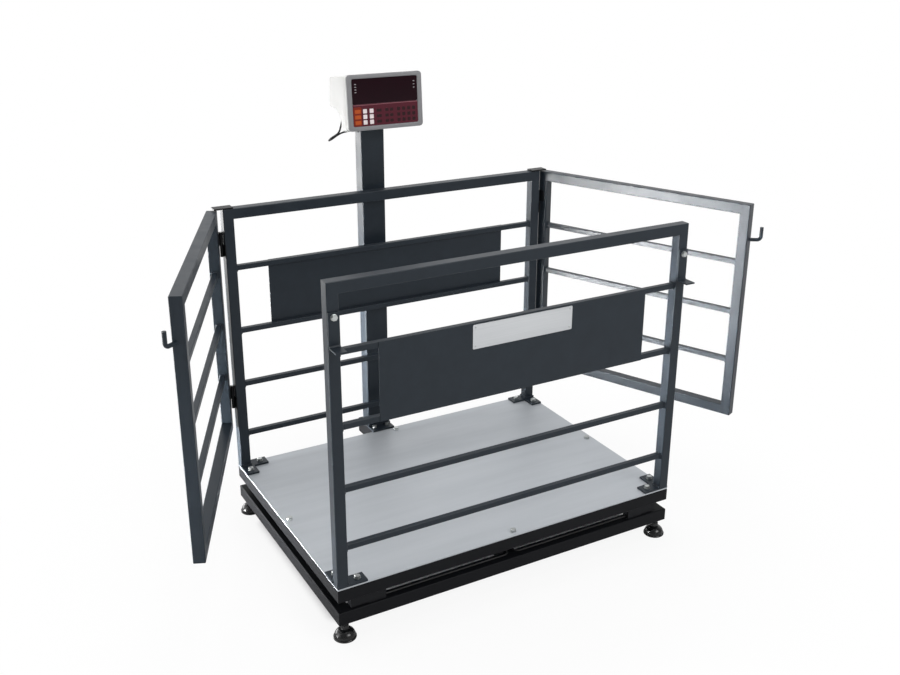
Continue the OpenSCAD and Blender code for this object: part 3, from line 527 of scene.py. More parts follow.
def weld_tool() -> NodeTool:
    """Tree that lays overlapping weld ripples along the host's edges."""
    tool = NodeTool("weld_run")
    tree = tool.tree
    out = tool.sizes(Radius=0.0045, Pitch=0.0045, Seed=3).outputs
    path = add(tree, "GeometryNodeMeshToCurve", {"Mesh": out["Geometry"]})
    steps = add(tree, "GeometryNodeResampleCurve", {"Curve": path, "Length": out["Pitch"]}, mode="LENGTH")
    ball = add(tree, "GeometryNodeMeshUVSphere", {"Segments": 8, "Rings": 5, "Radius": out["Radius"]})
    ripple = add(tree, "GeometryNodeSetShadeSmooth", {0: ball})
    along = add(tree, "GeometryNodeInputTangent")
    turn = add(tree, "FunctionNodeAlignRotationToVector", {"Vector": along}, axis="X")
    size = add(tree, "FunctionNodeRandomValue", {
        "Min": (0.95, 0.85, 0.85), "Max": (1.2, 1.1, 1.1), "Seed": out["Seed"]}, data_type="FLOAT_VECTOR")
    laid = add(tree, "GeometryNodeInstanceOnPoints", {
        "Points": steps, "Instance": ripple, "Rotation": turn,
        "Scale": size})
    tool.close(laid, out["Finish"])
    return tool


def bolt_tool() -> NodeTool:
    """Tree that puts a chamfered hexagon head on a washer at each point of the host, Z up."""
    tool = NodeTool("hexagon_bolts")
    tree = tool.tree
    out = tool.sizes(Washer_Radius=0.012, Washer_Height=0.0025, Head_Radius=0.011, Head_Height=0.008,
                     Chamfer=0.0016, Crown_Share=0.84, Seed=5).outputs

    def lifted(mesh: bpy.types.Node, level: bpy.types.Node) -> bpy.types.Node:
        """Mesh of one node raised to the level that another works out."""
        up = add(tree, "ShaderNodeCombineXYZ", {"Z": level})
        return add(tree, "GeometryNodeTransform", {"Geometry": mesh, "Translation": up})

    washer = add(tree, "GeometryNodeMeshCylinder", {
        "Vertices": 28, "Radius": out["Washer_Radius"], "Depth": out["Washer_Height"]})
    washer_level = add(tree, "ShaderNodeMath", {0: out["Washer_Height"], 1: 0.5}, operation="MULTIPLY")
    side_height = add(tree, "ShaderNodeMath", {
        0: out["Head_Height"], 1: out["Chamfer"]}, operation="SUBTRACT")
    sides = add(tree, "GeometryNodeMeshCylinder", {
        "Vertices": 6, "Radius": out["Head_Radius"], "Depth": side_height})
    half_side = add(tree, "ShaderNodeMath", {0: side_height, 1: 0.5}, operation="MULTIPLY")
    side_level = add(tree, "ShaderNodeMath", {0: half_side, 1: out["Washer_Height"]}, operation="ADD")
    crown_r = add(tree, "ShaderNodeMath", {
        0: out["Head_Radius"], 1: out["Crown_Share"]}, operation="MULTIPLY")
    crown = add(tree, "GeometryNodeMeshCone", {
        "Vertices": 6, "Radius Top": crown_r, "Radius Bottom": out["Head_Radius"],
        "Depth": out["Chamfer"]})
    crown_level = add(tree, "ShaderNodeMath", {0: side_height, 1: out["Washer_Height"]}, operation="ADD")
    whole = add(tree, "GeometryNodeJoinGeometry")
    for part in (lifted(crown, crown_level), lifted(sides, side_level), lifted(washer, washer_level)):
        tree.links.new(part.outputs[0], whole.inputs[0])
    flat = add(tree, "GeometryNodeSetShadeSmooth", {0: whole, "Shade Smooth": False})
    turn = add(tree, "FunctionNodeRandomValue", {
        "Min": (0.0, 0.0, 0.0), "Max": (0.0, 0.0, math.pi / 3), "Seed": out["Seed"]},
        data_type="FLOAT_VECTOR")
    laid = add(tree, "GeometryNodeInstanceOnPoints", {
        "Points": out["Geometry"], "Instance": flat, "Rotation": turn})
    tool.close(laid, out["Finish"])
    return tool


def key_tool() -> NodeTool:
    """Tree that lays rows and columns of embossed keys from the host's origin, X right and Y up."""
    tool = NodeTool("key_block")
    tree = tool.tree
    out = tool.sizes(Columns=2, Rows=3, Pitch_X=0.02, Pitch_Y=0.02, Width=0.015, Height=0.015, Corner=0.002,
                     Rise=0.0006).outputs
    count = add(tree, "ShaderNodeMath", {0: out["Columns"], 1: out["Rows"]}, operation="MULTIPLY")
    dots = add(tree, "GeometryNodePoints", {"Count": count})
    index = add(tree, "GeometryNodeInputIndex")
    column = add(tree, "ShaderNodeMath", {0: index, 1: out["Columns"]}, operation="MODULO")
    ratio = add(tree, "ShaderNodeMath", {0: index, 1: out["Columns"]}, operation="DIVIDE")
    row = add(tree, "ShaderNodeMath", {0: ratio}, operation="FLOOR")
    across = add(tree, "ShaderNodeMath", {0: column, 1: out["Pitch_X"]}, operation="MULTIPLY")
    up = add(tree, "ShaderNodeMath", {0: row, 1: out["Pitch_Y"]}, operation="MULTIPLY")
    where = add(tree, "ShaderNodeCombineXYZ", {"X": across, "Y": up})
    set_out = add(tree, "GeometryNodeSetPosition", {"Geometry": dots, "Position": where})
    edge = add(tree, "GeometryNodeCurvePrimitiveQuadrilateral", {
        "Width": out["Width"], "Height": out["Height"]})
    soft = add(tree, "GeometryNodeFilletCurve", {"Curve": edge, "Radius": out["Corner"], "Count": 4},
               mode="POLY")
    face = add(tree, "GeometryNodeFillCurve", {"Curve": soft}, mode="NGONS")
    raised = add(tree, "GeometryNodeExtrudeMesh", {"Mesh": face, "Offset Scale": out["Rise"]})
    under = add(tree, "GeometryNodeFlipFaces", {"Mesh": face})
    whole = add(tree, "GeometryNodeJoinGeometry")
    for part in (under, raised):
        tree.links.new(part.outputs[0], whole.inputs[0])
    closed = add(tree, "GeometryNodeMergeByDistance", {"Geometry": whole, "Distance": MERGE_GAP})
    laid = add(tree, "GeometryNodeInstanceOnPoints", {
        "Points": set_out, "Instance": closed})
    tool.close(laid, out["Finish"])
    return tool


def points_mesh(name: str, points: Iterable[Vector]) -> bpy.types.Mesh:
    """Mesh of loose points."""
    data = bpy.data.meshes.new(name)
    data.from_pydata([tuple(p) for p in points], [], [])
    return data


def paths_mesh(name: str, paths: Iterable[Sequence[Vector]]) -> bpy.types.Mesh:
    """Mesh of open paths, each a chain of edges."""
    verts: list[Point] = []
    edges: list[tuple[int, int]] = []
    for path in paths:
        start = len(verts)
        verts.extend(tuple(p) for p in path)
        edges.extend((start + i, start + i + 1) for i in range(len(path) - 1))
    data = bpy.data.meshes.new(name)
    data.from_pydata(verts, edges, [])
    return data


def corners(node: str) -> tuple[Vector, Vector]:
    """Lowest and highest corner of a CAD node at rest."""
    low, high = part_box(node)
    return Vector(low), Vector(high)


@dataclass
class Platform:
    """Base and deck frames, feet, load cells, junction box and deck."""

    deck_break_mm: float = 1.0
    foot_d: float = 80 * MM
    rim_h: float = 7 * MM
    rim_lip: float = 3 * MM
    rim_chamfer: float = 1.5 * MM
    dome_r: float = 28 * MM
    dome_steps: int = 14
    hex_flats: float = 27 * MM
    hex_top: float = 52 * MM
    hex_break_mm: float = 1.2
    stud_r: float = 8 * MM
    stud_chamfer: float = 1.5 * MM
    stud_sides: int = 40

    def dress(self) -> None:
        """Give the frames, cells, boxes and deck their finishes."""
        dress(FRAME_COAT, "base_long_rails", "base_side_rails", "base_cross_member", "deck_long_rails",
              "deck_side_rails", "deck_cross_members", "column_brackets")
        # Load cells, pads and bolts are painted near-black as the shade of the recess between the frames
        dress(RECESS_SHADE_STEEL, "load_cells", "load_cell_base_pads", "load_cell_top_pads", "load_cell_bolts")
        dress(ZINC_PLATE, "foot_bosses")
        dress(BLACK_OXIDE, "foot_lock_nuts")
        dress(GREY_ABS, "junction_box", "junction_box_lid")
        dress(BLACK_NYLON, "junction_box_glands")
        dress(CABLE_PVC, "load_cell_cables", "signal_cable")
        softened("deck_plate", ROLLED_STEEL, self.deck_break_mm)

    def foot_profile(self) -> list[Flat]:
        """Radius and height of the pad from its underside to its crown."""
        radius = self.foot_d / 2
        lip = self.rim_chamfer
        core = radius - self.rim_lip - self.dome_r
        profile = [(0.0, 0.0), (radius - lip, 0.0), (radius, lip), (radius, self.rim_h - lip),
                   (radius - lip, self.rim_h)]
        for k in range(self.dome_steps + 1):
            angle = math.pi / 2 * k / self.dome_steps
            profile.append((core + self.dome_r * math.cos(angle),
                            self.rim_h + self.dome_r * math.sin(angle)))
        profile.append((0.0, profile[-1][1]))
        return profile

    def foot(self, node: str, body: Body) -> None:
        """Build one levelling foot: moulded pad, hexagon and stud."""
        low, high = corners(node)
        axis = Matrix.Translation(((low.x + high.x) / 2, (low.y + high.y) / 2, 0.0))
        shape = turned(self.foot_profile(), axis)
        across = self.hex_flats / 2 / math.cos(math.pi / 6)
        hexagon = [(across * math.cos(math.pi / 3 * k), across * math.sin(math.pi / 3 * k))
                   for k in range(6)]
        nut = prism(hexagon, self.rim_h + self.dome_r / 2, self.hex_top, axis)
        bevel_sharp(nut, self.hex_break_mm, segments=2)
        stud = turned([(0.0, self.hex_top), (self.stud_r, self.hex_top),
                       (self.stud_r, high.z - self.stud_chamfer),
                       (self.stud_r - self.stud_chamfer, high.z), (0.0, high.z)], axis, self.stud_sides)
        for number, part in enumerate((nut, stud)):
            join(shape, part, number)
        piece = from_bmesh(node + "_finished", shape, NYLON_PAD, BLACK_STUD)
        place(piece, body, NYLON_PAD, node)

    def build(self) -> None:
        """Dress the platform and build its feet."""
        self.dress()
        for body in (Body.FRONT_LEFT_FOOT, Body.FRONT_RIGHT_FOOT, Body.REAR_LEFT_FOOT, Body.REAR_RIGHT_FOOT):
            self.foot("foot_" + body.value.removesuffix("_foot"), body)


@dataclass
class Fasteners:
    """Hexagon bolts that stand on the deck, the foot plates and the column base."""

    reach: float = 82 * MM
    column_spread: float = 60 * MM
    column_washer_r: float = 10 * MM
    column_head_r: float = 9.8 * MM
    column_head_h: float = 7 * MM

    def seat(self, tool: NodeTool, node: str, level: float, spots: Iterable[Flat], **sizes: float) -> None:
        """Build one set of bolts and let it stand for its CAD node.

        Args:
            tool: the bolt tree.
            node: the CAD node.
            level: height of the washers' undersides.
            spots: places of the bolts in X and Y.
            sizes: inputs of the tree that differ from its defaults.
        """
        points = points_mesh(node + "_seats", (Vector((x, y, level)) for x, y in spots))
        piece = tool.run(node + "_finished", points, ZINC_PLATE, **sizes)
        place(piece, Body.CRATE, ZINC_PLATE, node)

    def build(self) -> None:
        """Build every set of bolts and dress the other plated pieces."""
        tool = bolt_tool()
        deck = corners("deck_plate")[1]
        rail = corners("deck_long_rails")
        inset = (rail[1].z - rail[0].z) / 2
        rx, ry = deck.x - inset, deck.y - inset
        self.seat(tool, "deck_bolts", deck.z, ((rx, 0.0), (-rx, 0.0), (0.0, ry), (0.0, -ry)))
        signs = [(sx, sy) for sx in (-1, 1) for sy in (-1, 1)]
        arms = [(sx * (deck.x - self.reach), sy * ry) for sx, sy in signs]
        arms += [(sx * rx, sy * (deck.y - self.reach)) for sx, sy in signs]
        self.seat(tool, "foot_plate_bolts", corners("post_foot_plates")[1].z, arms, Seed=11)
        tower = corners("column_tube")
        centre = (tower[0].x + tower[1].x) / 2
        ends = corners("column_bolts")
        rows = (ends[0].y + self.column_washer_r, ends[1].y - self.column_washer_r)
        spots = [(centre + sx * self.column_spread / 2, y) for sx in (-1, 1) for y in rows]
        self.seat(tool, "column_bolts", corners("column_base_plate")[1].z, spots, Seed=17,
                  Washer_Radius=self.column_washer_r, Head_Radius=self.column_head_r,
                  Head_Height=self.column_head_h)
        dress(ZINC_PLATE, "latch_bolts", "indicator_screws", "hinge_pins")


def square_loop(centre: Vector, u: Vector, v: Vector, half_u: float, half_v: float) -> Loop:
    """Closed path round a rectangle that lies in the plane of two directions."""
    marks = ((-1, -1), (1, -1), (1, 1), (-1, 1), (-1, -1))
    return [centre + a * half_u * u + b * half_v * v for a, b in marks]


@dataclass
class SidePanels:
    """Posts, rails, bars, sheets and latch straps of both long sides, and the column."""

    post: float = 40 * MM
    bar: float = 20 * MM
    bar_gap_least: float = 30 * MM
    bead_in: float = 1 * MM
    sheet_t: float = 2 * MM
    sheet_break_mm: float = 0.5
    flange_break_mm: float = 1.0
    strap_break_mm: float = 0.8
    tack_pitch: float = 200 * MM
    tack_length: float = 12 * MM
    tack_r: float = 2.5 * MM
    plate_size: Flat = (396 * MM, 86 * MM)
    plate_at: Flat = (9.5 * MM, 1008 * MM)
    plate_t: float = 1.5 * MM
    plate_corner_r: float = 4 * MM
    plate_break_mm: float = 0.4
    rivet_r: float = 3 * MM
    rivet_inset: float = 10 * MM
    rivet_sides: int = 16
    rivet_shares: tuple[Flat, ...] = ((0.0, 0.0), (1.0, 0.0), (0.9, 0.25), (0.6, 0.45), (0.0, 0.55))

    def dress(self) -> None:
        """Give the panels, the column and the straps their finishes."""
        dress(PANEL_COAT, "panel_posts", "panel_top_rails", "panel_bars", "column_tube")
        softened("panel_sheets", PANEL_COAT, self.sheet_break_mm)
        for node in ("post_foot_plates", "column_base_plate", "column_top_plate"):
            softened(node, PANEL_COAT, self.flange_break_mm)
        softened("post_top_plates", HINGE_ENAMEL, self.flange_break_mm)
        dress(HINGE_ENAMEL, "post_hinge_halves")
        for node in ("left_latch_strap", "right_latch_strap"):
            softened(node, PANEL_COAT, self.strap_break_mm)

    def bar_levels(self) -> list[float]:
        """Heights of the bar centres, read from the bars' own vertices."""
        levels = sorted({round(v.co.z, 4) for v in frame["nodes"]["panel_bars"].data.vertices})
        low, high = levels[0], levels[0]
        centres = []
        for level in levels[1:] + [math.inf]:
            if level - low > self.bar_gap_least:
                centres.append((low + high) / 2)
                low = level
            high = level
        return centres

    def welds(self) -> list[Loop]:
        """Paths of the beads at the bar ends, the inner sides of the post feet and the column foot."""
        x, y, z = Vector((1, 0, 0)), Vector((0, 1, 0)), Vector((0, 0, 1))
        low, high = corners("panel_bars")
        posts = corners("panel_posts")
        levels = self.bar_levels()
        half = self.bar / 2
        depth = posts[1].y - self.post / 2
        paths = []
        for sy in (-1, 1):
            for level in levels:
                for end in (low.x + self.bead_in, high.x - self.bead_in):
                    paths.append(square_loop(Vector((end, sy * depth, level)), y, z, half, half))
            for sx in (-1, 1):
                outer = Vector((sx * posts[1].x, sy * posts[1].y, posts[0].z + self.bead_in))
                across, along = -sx * self.post * x, -sy * self.post * y
                paths.append([outer + along, outer + across + along, outer + across])
        tower = corners("column_tube")
        centre = (tower[0] + tower[1]) / 2
        paths.append(square_loop(Vector((centre.x, centre.y, tower[0].z + self.bead_in)), x, y,
                                 (tower[1].x - tower[0].x) / 2, (tower[1].y - tower[0].y) / 2))
        return paths

    def tacks(self) -> list[Loop]:
        """Short beads that hold each sheet on the inner side of its bars."""
        sheet = corners("panel_sheets")
        count = int((sheet[1].x - sheet[0].x - self.tack_pitch / 2) / self.tack_pitch)
        paths = []
        for sy in (-1, 1):
            inner = sy * (sheet[1].y - self.sheet_t)
            for level in (sheet[0].z + self.bar, sheet[1].z - self.bar):
                for k in range(count + 1):
                    start = (k - count / 2) * self.tack_pitch
                    paths.append([Vector((x, inner, level)) for x in (start, start + self.tack_length)])
        return paths

    def bare_plate(self) -> None:
        """Build the bare plate on the front sheet with a rivet at each corner."""
        face = corners("panel_sheets")[0].y
        across, level = self.plate_at
        upright = Matrix.Translation((across, face, level)) @ Matrix.Rotation(math.pi / 2, 4, "X")
        width, height = self.plate_size
        shape = prism(rounded_outline(width, height, self.plate_corner_r), 0.0, self.plate_t, upright)
        bevel_sharp(shape, self.plate_break_mm, segments=2)
        place(from_bmesh("bare_plate", shape, BRUSHED_PLATE), Body.CRATE, BRUSHED_PLATE)
        profile = [(a * self.rivet_r, b * self.rivet_r) for a, b in self.rivet_shares]
        right, up = width / 2 - self.rivet_inset, height / 2 - self.rivet_inset
        rivets = bmesh.new()
        for sx in (-1, 1):
            for sy in (-1, 1):
                spot = upright @ Matrix.Translation((sx * right, sy * up, self.plate_t))
                join(rivets, turned(profile, spot, self.rivet_sides))
        place(from_bmesh("plate_rivets", rivets, ZINC_PLATE), Body.CRATE, ZINC_PLATE)

    def build(self, tool: NodeTool) -> None:
        """Dress the panels, lay their beads and fix the bare plate."""
        self.dress()
        beads = tool.run("panel_weld_beads", paths_mesh("panel_welds", self.welds()), PANEL_COAT)
        place(beads, Body.CRATE, PANEL_COAT)
        tacks = tool.run("sheet_tack_beads", paths_mesh("sheet_tacks", self.tacks()), PANEL_COAT,
                         Radius=self.tack_r, Seed=9)
        place(tacks, Body.CRATE, PANEL_COAT)
        self.bare_plate()


@dataclass
class Gate:
    """One end gate, built in the gate's own frame and turned to the rest angle."""

    body: Body
    sign: int
    length: float = 960 * MM
    height: float = 890 * MM
    tube: float = 40 * MM
    bar: float = 20 * MM
    bars: int = 3
    gap: float = 15 * MM
    bead_in: float = 1 * MM

    def part(self, name: str) -> str:
        """Full name of one of the gate's nodes, pieces or joints."""
        return f"{self.body.value}_{name}"

    def to_row(self) -> Matrix:
        """Place of the gate's frame: X to the free end, Y outwards, mirrored for the left end."""
        joint = next(j for j in frame["joints"] if j["name"] == self.part("hinge"))
        rest = -joint["range_deg"][0]
        x, y = joint["pos_m"][:2]
        turn = Matrix.Translation((abs(x), y, 0.0)) @ Matrix.Rotation(math.radians(rest - 90), 4, "Z")
        return Matrix.Diagonal((self.sign, 1, 1, 1)) @ turn

    def welds(self) -> list[Loop]:
        """Paths of the beads at the bar ends."""
        foot = corners(self.part("stiles"))[0].z
        across = self.gap / 2 + self.tube / 2
        clear = (self.height - 2 * self.tube - self.bars * self.bar) / (self.bars + 1)
        y, z = Vector((0, 1, 0)), Vector((0, 0, 1))
        paths = []
        for i in range(self.bars):
            level = foot + self.tube + (i + 1) * clear + (i + 0.5) * self.bar
            for end in (self.tube + self.bead_in, self.length - self.tube - self.bead_in):
                paths.append(square_loop(Vector((end, across, level)), y, z, self.bar / 2, self.bar / 2))
        matrix = self.to_row()
        return [[matrix @ p for p in path] for path in paths]

    def build(self, tool: NodeTool) -> None:
        """Dress the gate and lay its beads."""
        dress(PANEL_COAT, *(self.part(name) for name in ("stiles", "rails", "bars", "hook")))
        dress(HINGE_ENAMEL, self.part("hinge_halves"))
        paths = paths_mesh(self.part("welds"), self.welds())
        beads = tool.run(self.part("weld_beads"), paths, PANEL_COAT, Seed=21)
        place(beads, self.body, PANEL_COAT)


@dataclass(frozen=True)
class KeyGroup:
    """A block of equal keys on the membrane, placed by the first key's centre."""

    name: str
    finish: Finish
    columns: int
    first_x: float
    pitch_x: float
    width: float
    height: float
    rows: int = 3


@dataclass(frozen=True)
class LampColumn:
    """A column of unlit lamp marks on the window, placed from the face's top edge."""

    name: str
    count: int
    across: float
    first_drop: float
    pitch: float
    width: float
    height: float = 2.6 * MM


KEY_GROUPS = (
    KeyGroup("orange_keys", ORANGE_PRINT, 1, -117.5 * MM, 0.0, 24 * MM, 14 * MM),
    KeyGroup("white_keys", WHITE_PRINT, 2, -87.5 * MM, 27.2 * MM, 16 * MM, 16 * MM),
    KeyGroup("wide_dark_keys", DARK_PRINT, 1, -29 * MM, 0.0, 21 * MM, 11 * MM),
    KeyGroup("paired_dark_keys", DARK_PRINT, 2, 4 * MM, 20 * MM, 14 * MM, 11 * MM),
    KeyGroup("number_keys", DARK_PRINT, 4, 54 * MM, 21.7 * MM, 13 * MM, 13 * MM),
)
LAMP_COLUMNS = (
    LampColumn("left_lamp", 4, -122.5 * MM, 20 * MM, 10 * MM, 7 * MM),
    LampColumn("right_lamp", 3, 123 * MM, 20.5 * MM, 12 * MM, 6 * MM),
)


@dataclass
class Indicator:
    """Weighing indicator: moulded housing, rim, bezel, window, membrane keys and its cable."""

    tilt_deg: float = 4.0
    width: float = 315 * MM
    height: float = 210 * MM
    ahead: float = 131 * MM
    below: float = 69 * MM
    corner_r: float = 14 * MM
    bezel_t: float = 9 * MM
    bezel_round_mm: float = 2.2
    rim_depth: float = 12 * MM
    rim_round_mm: float = 2.5
    waist: float = 8 * MM
    waist_in: float = 11 * MM
    waist_corner_r: float = 10 * MM
    waist_clear: float = 1 * MM
    waist_into_rim: float = 1 * MM
    waist_into_shell: float = 2 * MM
    shell_inset: float = 3 * MM
    shell_round_mm: float = 3.0
    front_drop: float = 5 * MM
    chin_drop: float = 3 * MM
    chin_r: float = 3 * MM
    belly_ahead: float = 70 * MM
    belly_drop: float = 7 * MM
    belly_r: float = 24 * MM
    heel_r: float = 6 * MM
    scoop_r: float = 65 * MM
    scoop_back: float = 12 * MM
    rear_depth: float = 60 * MM
    rear_lean: float = 9 * MM
    rear_r: float = 9 * MM
    top_fall: float = 21 * MM
    top_r: float = 12 * MM
    brow_drop: float = 4 * MM
    brow_r: float = 3 * MM
    margin_side: float = 20 * MM
    margin_end: float = 16 * MM
    face_corner_r: float = 6 * MM
    face_sunk: float = 4 * MM
    keypad_sunk: float = 1.5 * MM
    window_sunk: float = 1.0 * MM
    window_share: float = 0.53
    first_row: float = 15 * MM
    row_pitch: float = 20.8 * MM
    ink_t: float = 0.25 * MM
    ink_corner_share: float = 0.2
    field_at: Flat = (-118.5 * MM, 37.5 * MM)
    field_size: Flat = (34 * MM, 72 * MM)
    line_drop: float = 4 * MM
    line_size: Flat = (268 * MM, 1.6 * MM)
    cord_d: float = 7 * MM
    cord_steps: int = 4
    cord_route_mm: tuple[Point, ...] = (
        (0, 0, 0), (-14, 0, 0), (-28, 3, 0), (-43, 9, -3), (-58, 17, -8), (-73, 23, -16), (-86, 25, -24),
        (-99, 22, -30), (-112, 13, -32), (-121, 0, -30), (-123, -13, -24), (-118, -22, -16),
        (-107, -25, -9), (-94, -24, -2), (-84, -20, 7), (-77, -14, 18), (-71, -9, 30), (-65, -4, 43),
        (-59, -2, 56), (-57, -1, 69), (-57, -1, 81))
    x: float = field(init=False)
    front: float = field(init=False)
    step: float = field(init=False)
    bezel_y: float = field(init=False)
    bezel_z: float = field(init=False)
    to_row: Matrix = field(init=False)
    to_face: Matrix = field(init=False)

    def __post_init__(self) -> None:
        """Read the column's place and work out the frames at the bezel's lower edge and middle."""
        low, high = corners("column_tube")
        self.x = (low.x + high.x) / 2
        self.front = low.y
        self.step = corners("column_top_plate")[1].z
        self.bezel_y = self.front - self.ahead
        self.bezel_z = self.step - self.below
        self.to_row = (Matrix.Translation((self.x, self.bezel_y, self.bezel_z))
                       @ Matrix.Rotation(math.radians(90 - self.tilt_deg), 4, "X"))
        self.to_face = self.to_row @ Matrix.Translation((0.0, self.height / 2, 0.0))

    def cord(self) -> None:
        """Build the free loop of cable from the column's grommet to the housing's gland."""
        curve = bpy.data.curves.new("indicator_cord", "CURVE")
        curve.dimensions = "3D"
        curve.bevel_depth = self.cord_d / 2
        curve.bevel_resolution = 5
        curve.use_fill_caps = True
        low, high = corners("cable_grommet")
        start = Vector((low.x, (low.y + high.y) / 2, (low.z + high.z) / 2))
        points = [start + Vector(p) * MM for p in self.cord_route_mm]
        spline = curve.splines.new("POLY")
        fine = self.smooth(points, self.cord_steps)
        spline.points.add(len(fine) - 1)
        for slot, p in zip(spline.points, fine):
            slot.co = (*p, 1.0)
        curve.materials.append(CABLE_PVC.material())
        piece = place(new_object("indicator_cord", curve), Body.CRATE, CABLE_PVC, "indicator_cable")

    @staticmethod
    def smooth(points: Sequence[Vector], steps: int) -> list[Vector]:
        """Points of a Catmull-Rom curve through the given ones."""
        ends = [2 * points[0] - points[1], *points, 2 * points[-1] - points[-2]]
        fine = []
        for p0, p1, p2, p3 in zip(ends, ends[1:], ends[2:], ends[3:]):
            for k in range(steps):
                t = k / steps
                fine.append(0.5 * (2 * p1 + (p2 - p0) * t + (2 * p0 - 5 * p1 + 4 * p2 - p3) * t ** 2
                                   + (3 * p1 - p0 - 3 * p2 + p3) * t ** 3))
        fine.append(points[-1])
        return fine

    def side_profile(self) -> list[Flat]:
        """Side view of the rear shell in Y and Z, anticlockwise seen from +X."""
        slope = math.radians(self.tilt_deg)
        start = self.bezel_y + (self.bezel_t + self.rim_depth + self.waist) / math.cos(slope)
        top = self.bezel_z + self.height * math.cos(slope) - self.front_drop
        chin = self.bezel_z - self.chin_drop
        heel = self.front + self.scoop_back - self.scoop_r
        rear = self.front + self.rear_depth
        turns = (
            ((start, chin), self.chin_r),
            ((self.front - self.belly_ahead, self.bezel_z - self.belly_drop), self.belly_r),
            ((heel, chin), self.heel_r),
            ((heel, self.step), self.scoop_r),
            ((rear, self.step), self.rear_r),
            ((rear - self.rear_lean, top - self.top_fall), self.top_r),
            ((start + (top - self.bezel_z) * math.tan(slope), top - self.brow_drop), self.brow_r),
        )
        return filleted(turns)

    def shell(self) -> None:
        """Build the moulded rear shell, the rim behind the bezel and the waist between them."""
        # The prism's own X, Y and Z are the row's Y, Z and X
        lay = Matrix(((0, 0, 1, self.x), (1, 0, 0, 0), (0, 1, 0, 0), (0, 0, 0, 1)))
        half = self.width / 2 - self.shell_inset
        shape = prism(self.side_profile(), -half, half, lay)
        bevel_sharp(shape, self.shell_round_mm, segments=3, least_deg=60.0)
        piece = from_bmesh("housing_shell", shape, WHITE_ABS)
        place(piece, Body.CRATE, WHITE_ABS, "indicator_housing")
        outline = rounded_outline(self.width, self.height, self.corner_r)
        rim_back = -self.bezel_t - self.rim_depth
        rim = prism(outline, rim_back, -self.bezel_t, self.to_face)
        bevel_sharp(rim, self.rim_round_mm, segments=3)
        place(from_bmesh("housing_rim", rim, WHITE_ABS), Body.CRATE, WHITE_ABS)
        narrow = rounded_outline(self.width - 2 * self.waist_in, self.height - 2 * self.waist_in,
                                 self.waist_corner_r)
        inset = self.shell_inset + self.waist_clear
        wide = rounded_outline(self.width - 2 * inset, self.height - 4 * inset, self.waist_corner_r)
        shell_front = rim_back - self.waist
        neck = lofted(((wide, shell_front - self.waist_into_shell), (wide, shell_front),
                       (narrow, rim_back), (narrow, rim_back + self.waist_into_rim)), self.to_face)
        place(from_bmesh("housing_waist", neck, WHITE_ABS), Body.CRATE, WHITE_ABS)

    def bezel(self) -> None:
        """Build the grey bezel with rounded lips round the sunk face."""
        outer = rounded_outline(self.width, self.height, self.corner_r)
        inner = rounded_outline(self.width - 2 * self.margin_side, self.height - 2 * self.margin_end,
                                self.face_corner_r)
        shape = lofted(((outer, -self.bezel_t), (outer, 0.0), (inner, 0.0), (inner, -self.face_sunk)),
                       self.to_face)
        bevel_sharp(shape, self.bezel_round_mm, segments=3)
        piece = from_bmesh("bezel_finished", shape, BEZEL_ABS)
        place(piece, Body.CRATE, BEZEL_ABS, "indicator_bezel")

    def printed(self, name: str, finish: Finish, at: Point, size: Flat) -> None:
        """Lay a thin printed field on the face, by its centre and level."""
        spot = self.to_row @ Matrix.Translation(at)
        outline = rounded_outline(*size, min(size) * self.ink_corner_share)
        place(from_bmesh(name, prism(outline, 0.0, self.ink_t, spot), finish), Body.CRATE, finish)

    def keys(self) -> None:
        """Build the key blocks, the orange field, the pale line and the lamp marks."""
        tool = key_tool()
        face = -self.keypad_sunk
        for group in KEY_GROUPS:
            lift = self.ink_t if group.finish is ORANGE_PRINT else 0.0
            first = (group.first_x, self.margin_end + self.first_row, face + lift)
            piece = tool.run(group.name, points_mesh(group.name, [Vector()]), group.finish,
                             Columns=group.columns, Rows=group.rows, Pitch_X=group.pitch_x,
                             Pitch_Y=self.row_pitch, Width=group.width, Height=group.height)
            piece.data.transform(self.to_row @ Matrix.Translation(first))
            place(piece, Body.CRATE, group.finish)
        top = self.height - self.margin_end
        split = self.margin_end + (self.height - 2 * self.margin_end) * (1 - self.window_share)
        across, up = self.field_at
        self.printed("orange_field", ORANGE_FIELD, (across, self.margin_end + up, face), self.field_size)
        self.printed("pale_line", PINK_PRINT, (0.0, split - self.line_drop, face), self.line_size)
        for column in LAMP_COLUMNS:
            for k in range(column.count):
                at = (column.across, top - column.first_drop - k * column.pitch, -self.window_sunk)
                self.printed(f"{column.name}_{k + 1}", LAMP_PRINT, at, (column.width, column.height))

    def build(self) -> None:
        """Build the cord first, then the housing and its face."""
        self.cord()
        self.shell()
        self.bezel()
        dress(TINTED_ACRYLIC, "display_window")
        dress(RED_MEMBRANE, "keypad")
        dress(BOARD_MASK, "indicator_board")
        dress(BATTERY_CASE, "indicator_battery")
        dress(BLACK_NYLON, "cable_gland")
        dress(CABLE_PVC, "cable_grommet")
        self.keys()


@dataclass(frozen=True)
class SoftBox:
    """A rectangular lamp, the place it points at and the grid that narrows its beam."""

    name: str
    at: Point
    aim: Point
    size: Flat
    watts: float
    grid_deg: float = 180.0

    def build(self) -> None:
        """Add the lamp to the scene."""
        data = bpy.data.lights.new(self.name, "AREA")
        data.shape = "RECTANGLE"
        data.size, data.size_y = self.size
        data.energy = self.watts
        data.spread = math.radians(self.grid_deg)
        lamp = new_object(self.name, data)
        lamp.location = self.at
        lamp.rotation_euler = (Vector(self.aim) - Vector(self.at)).to_track_quat("-Z", "Y").to_euler()
        lamp.visible_camera = False


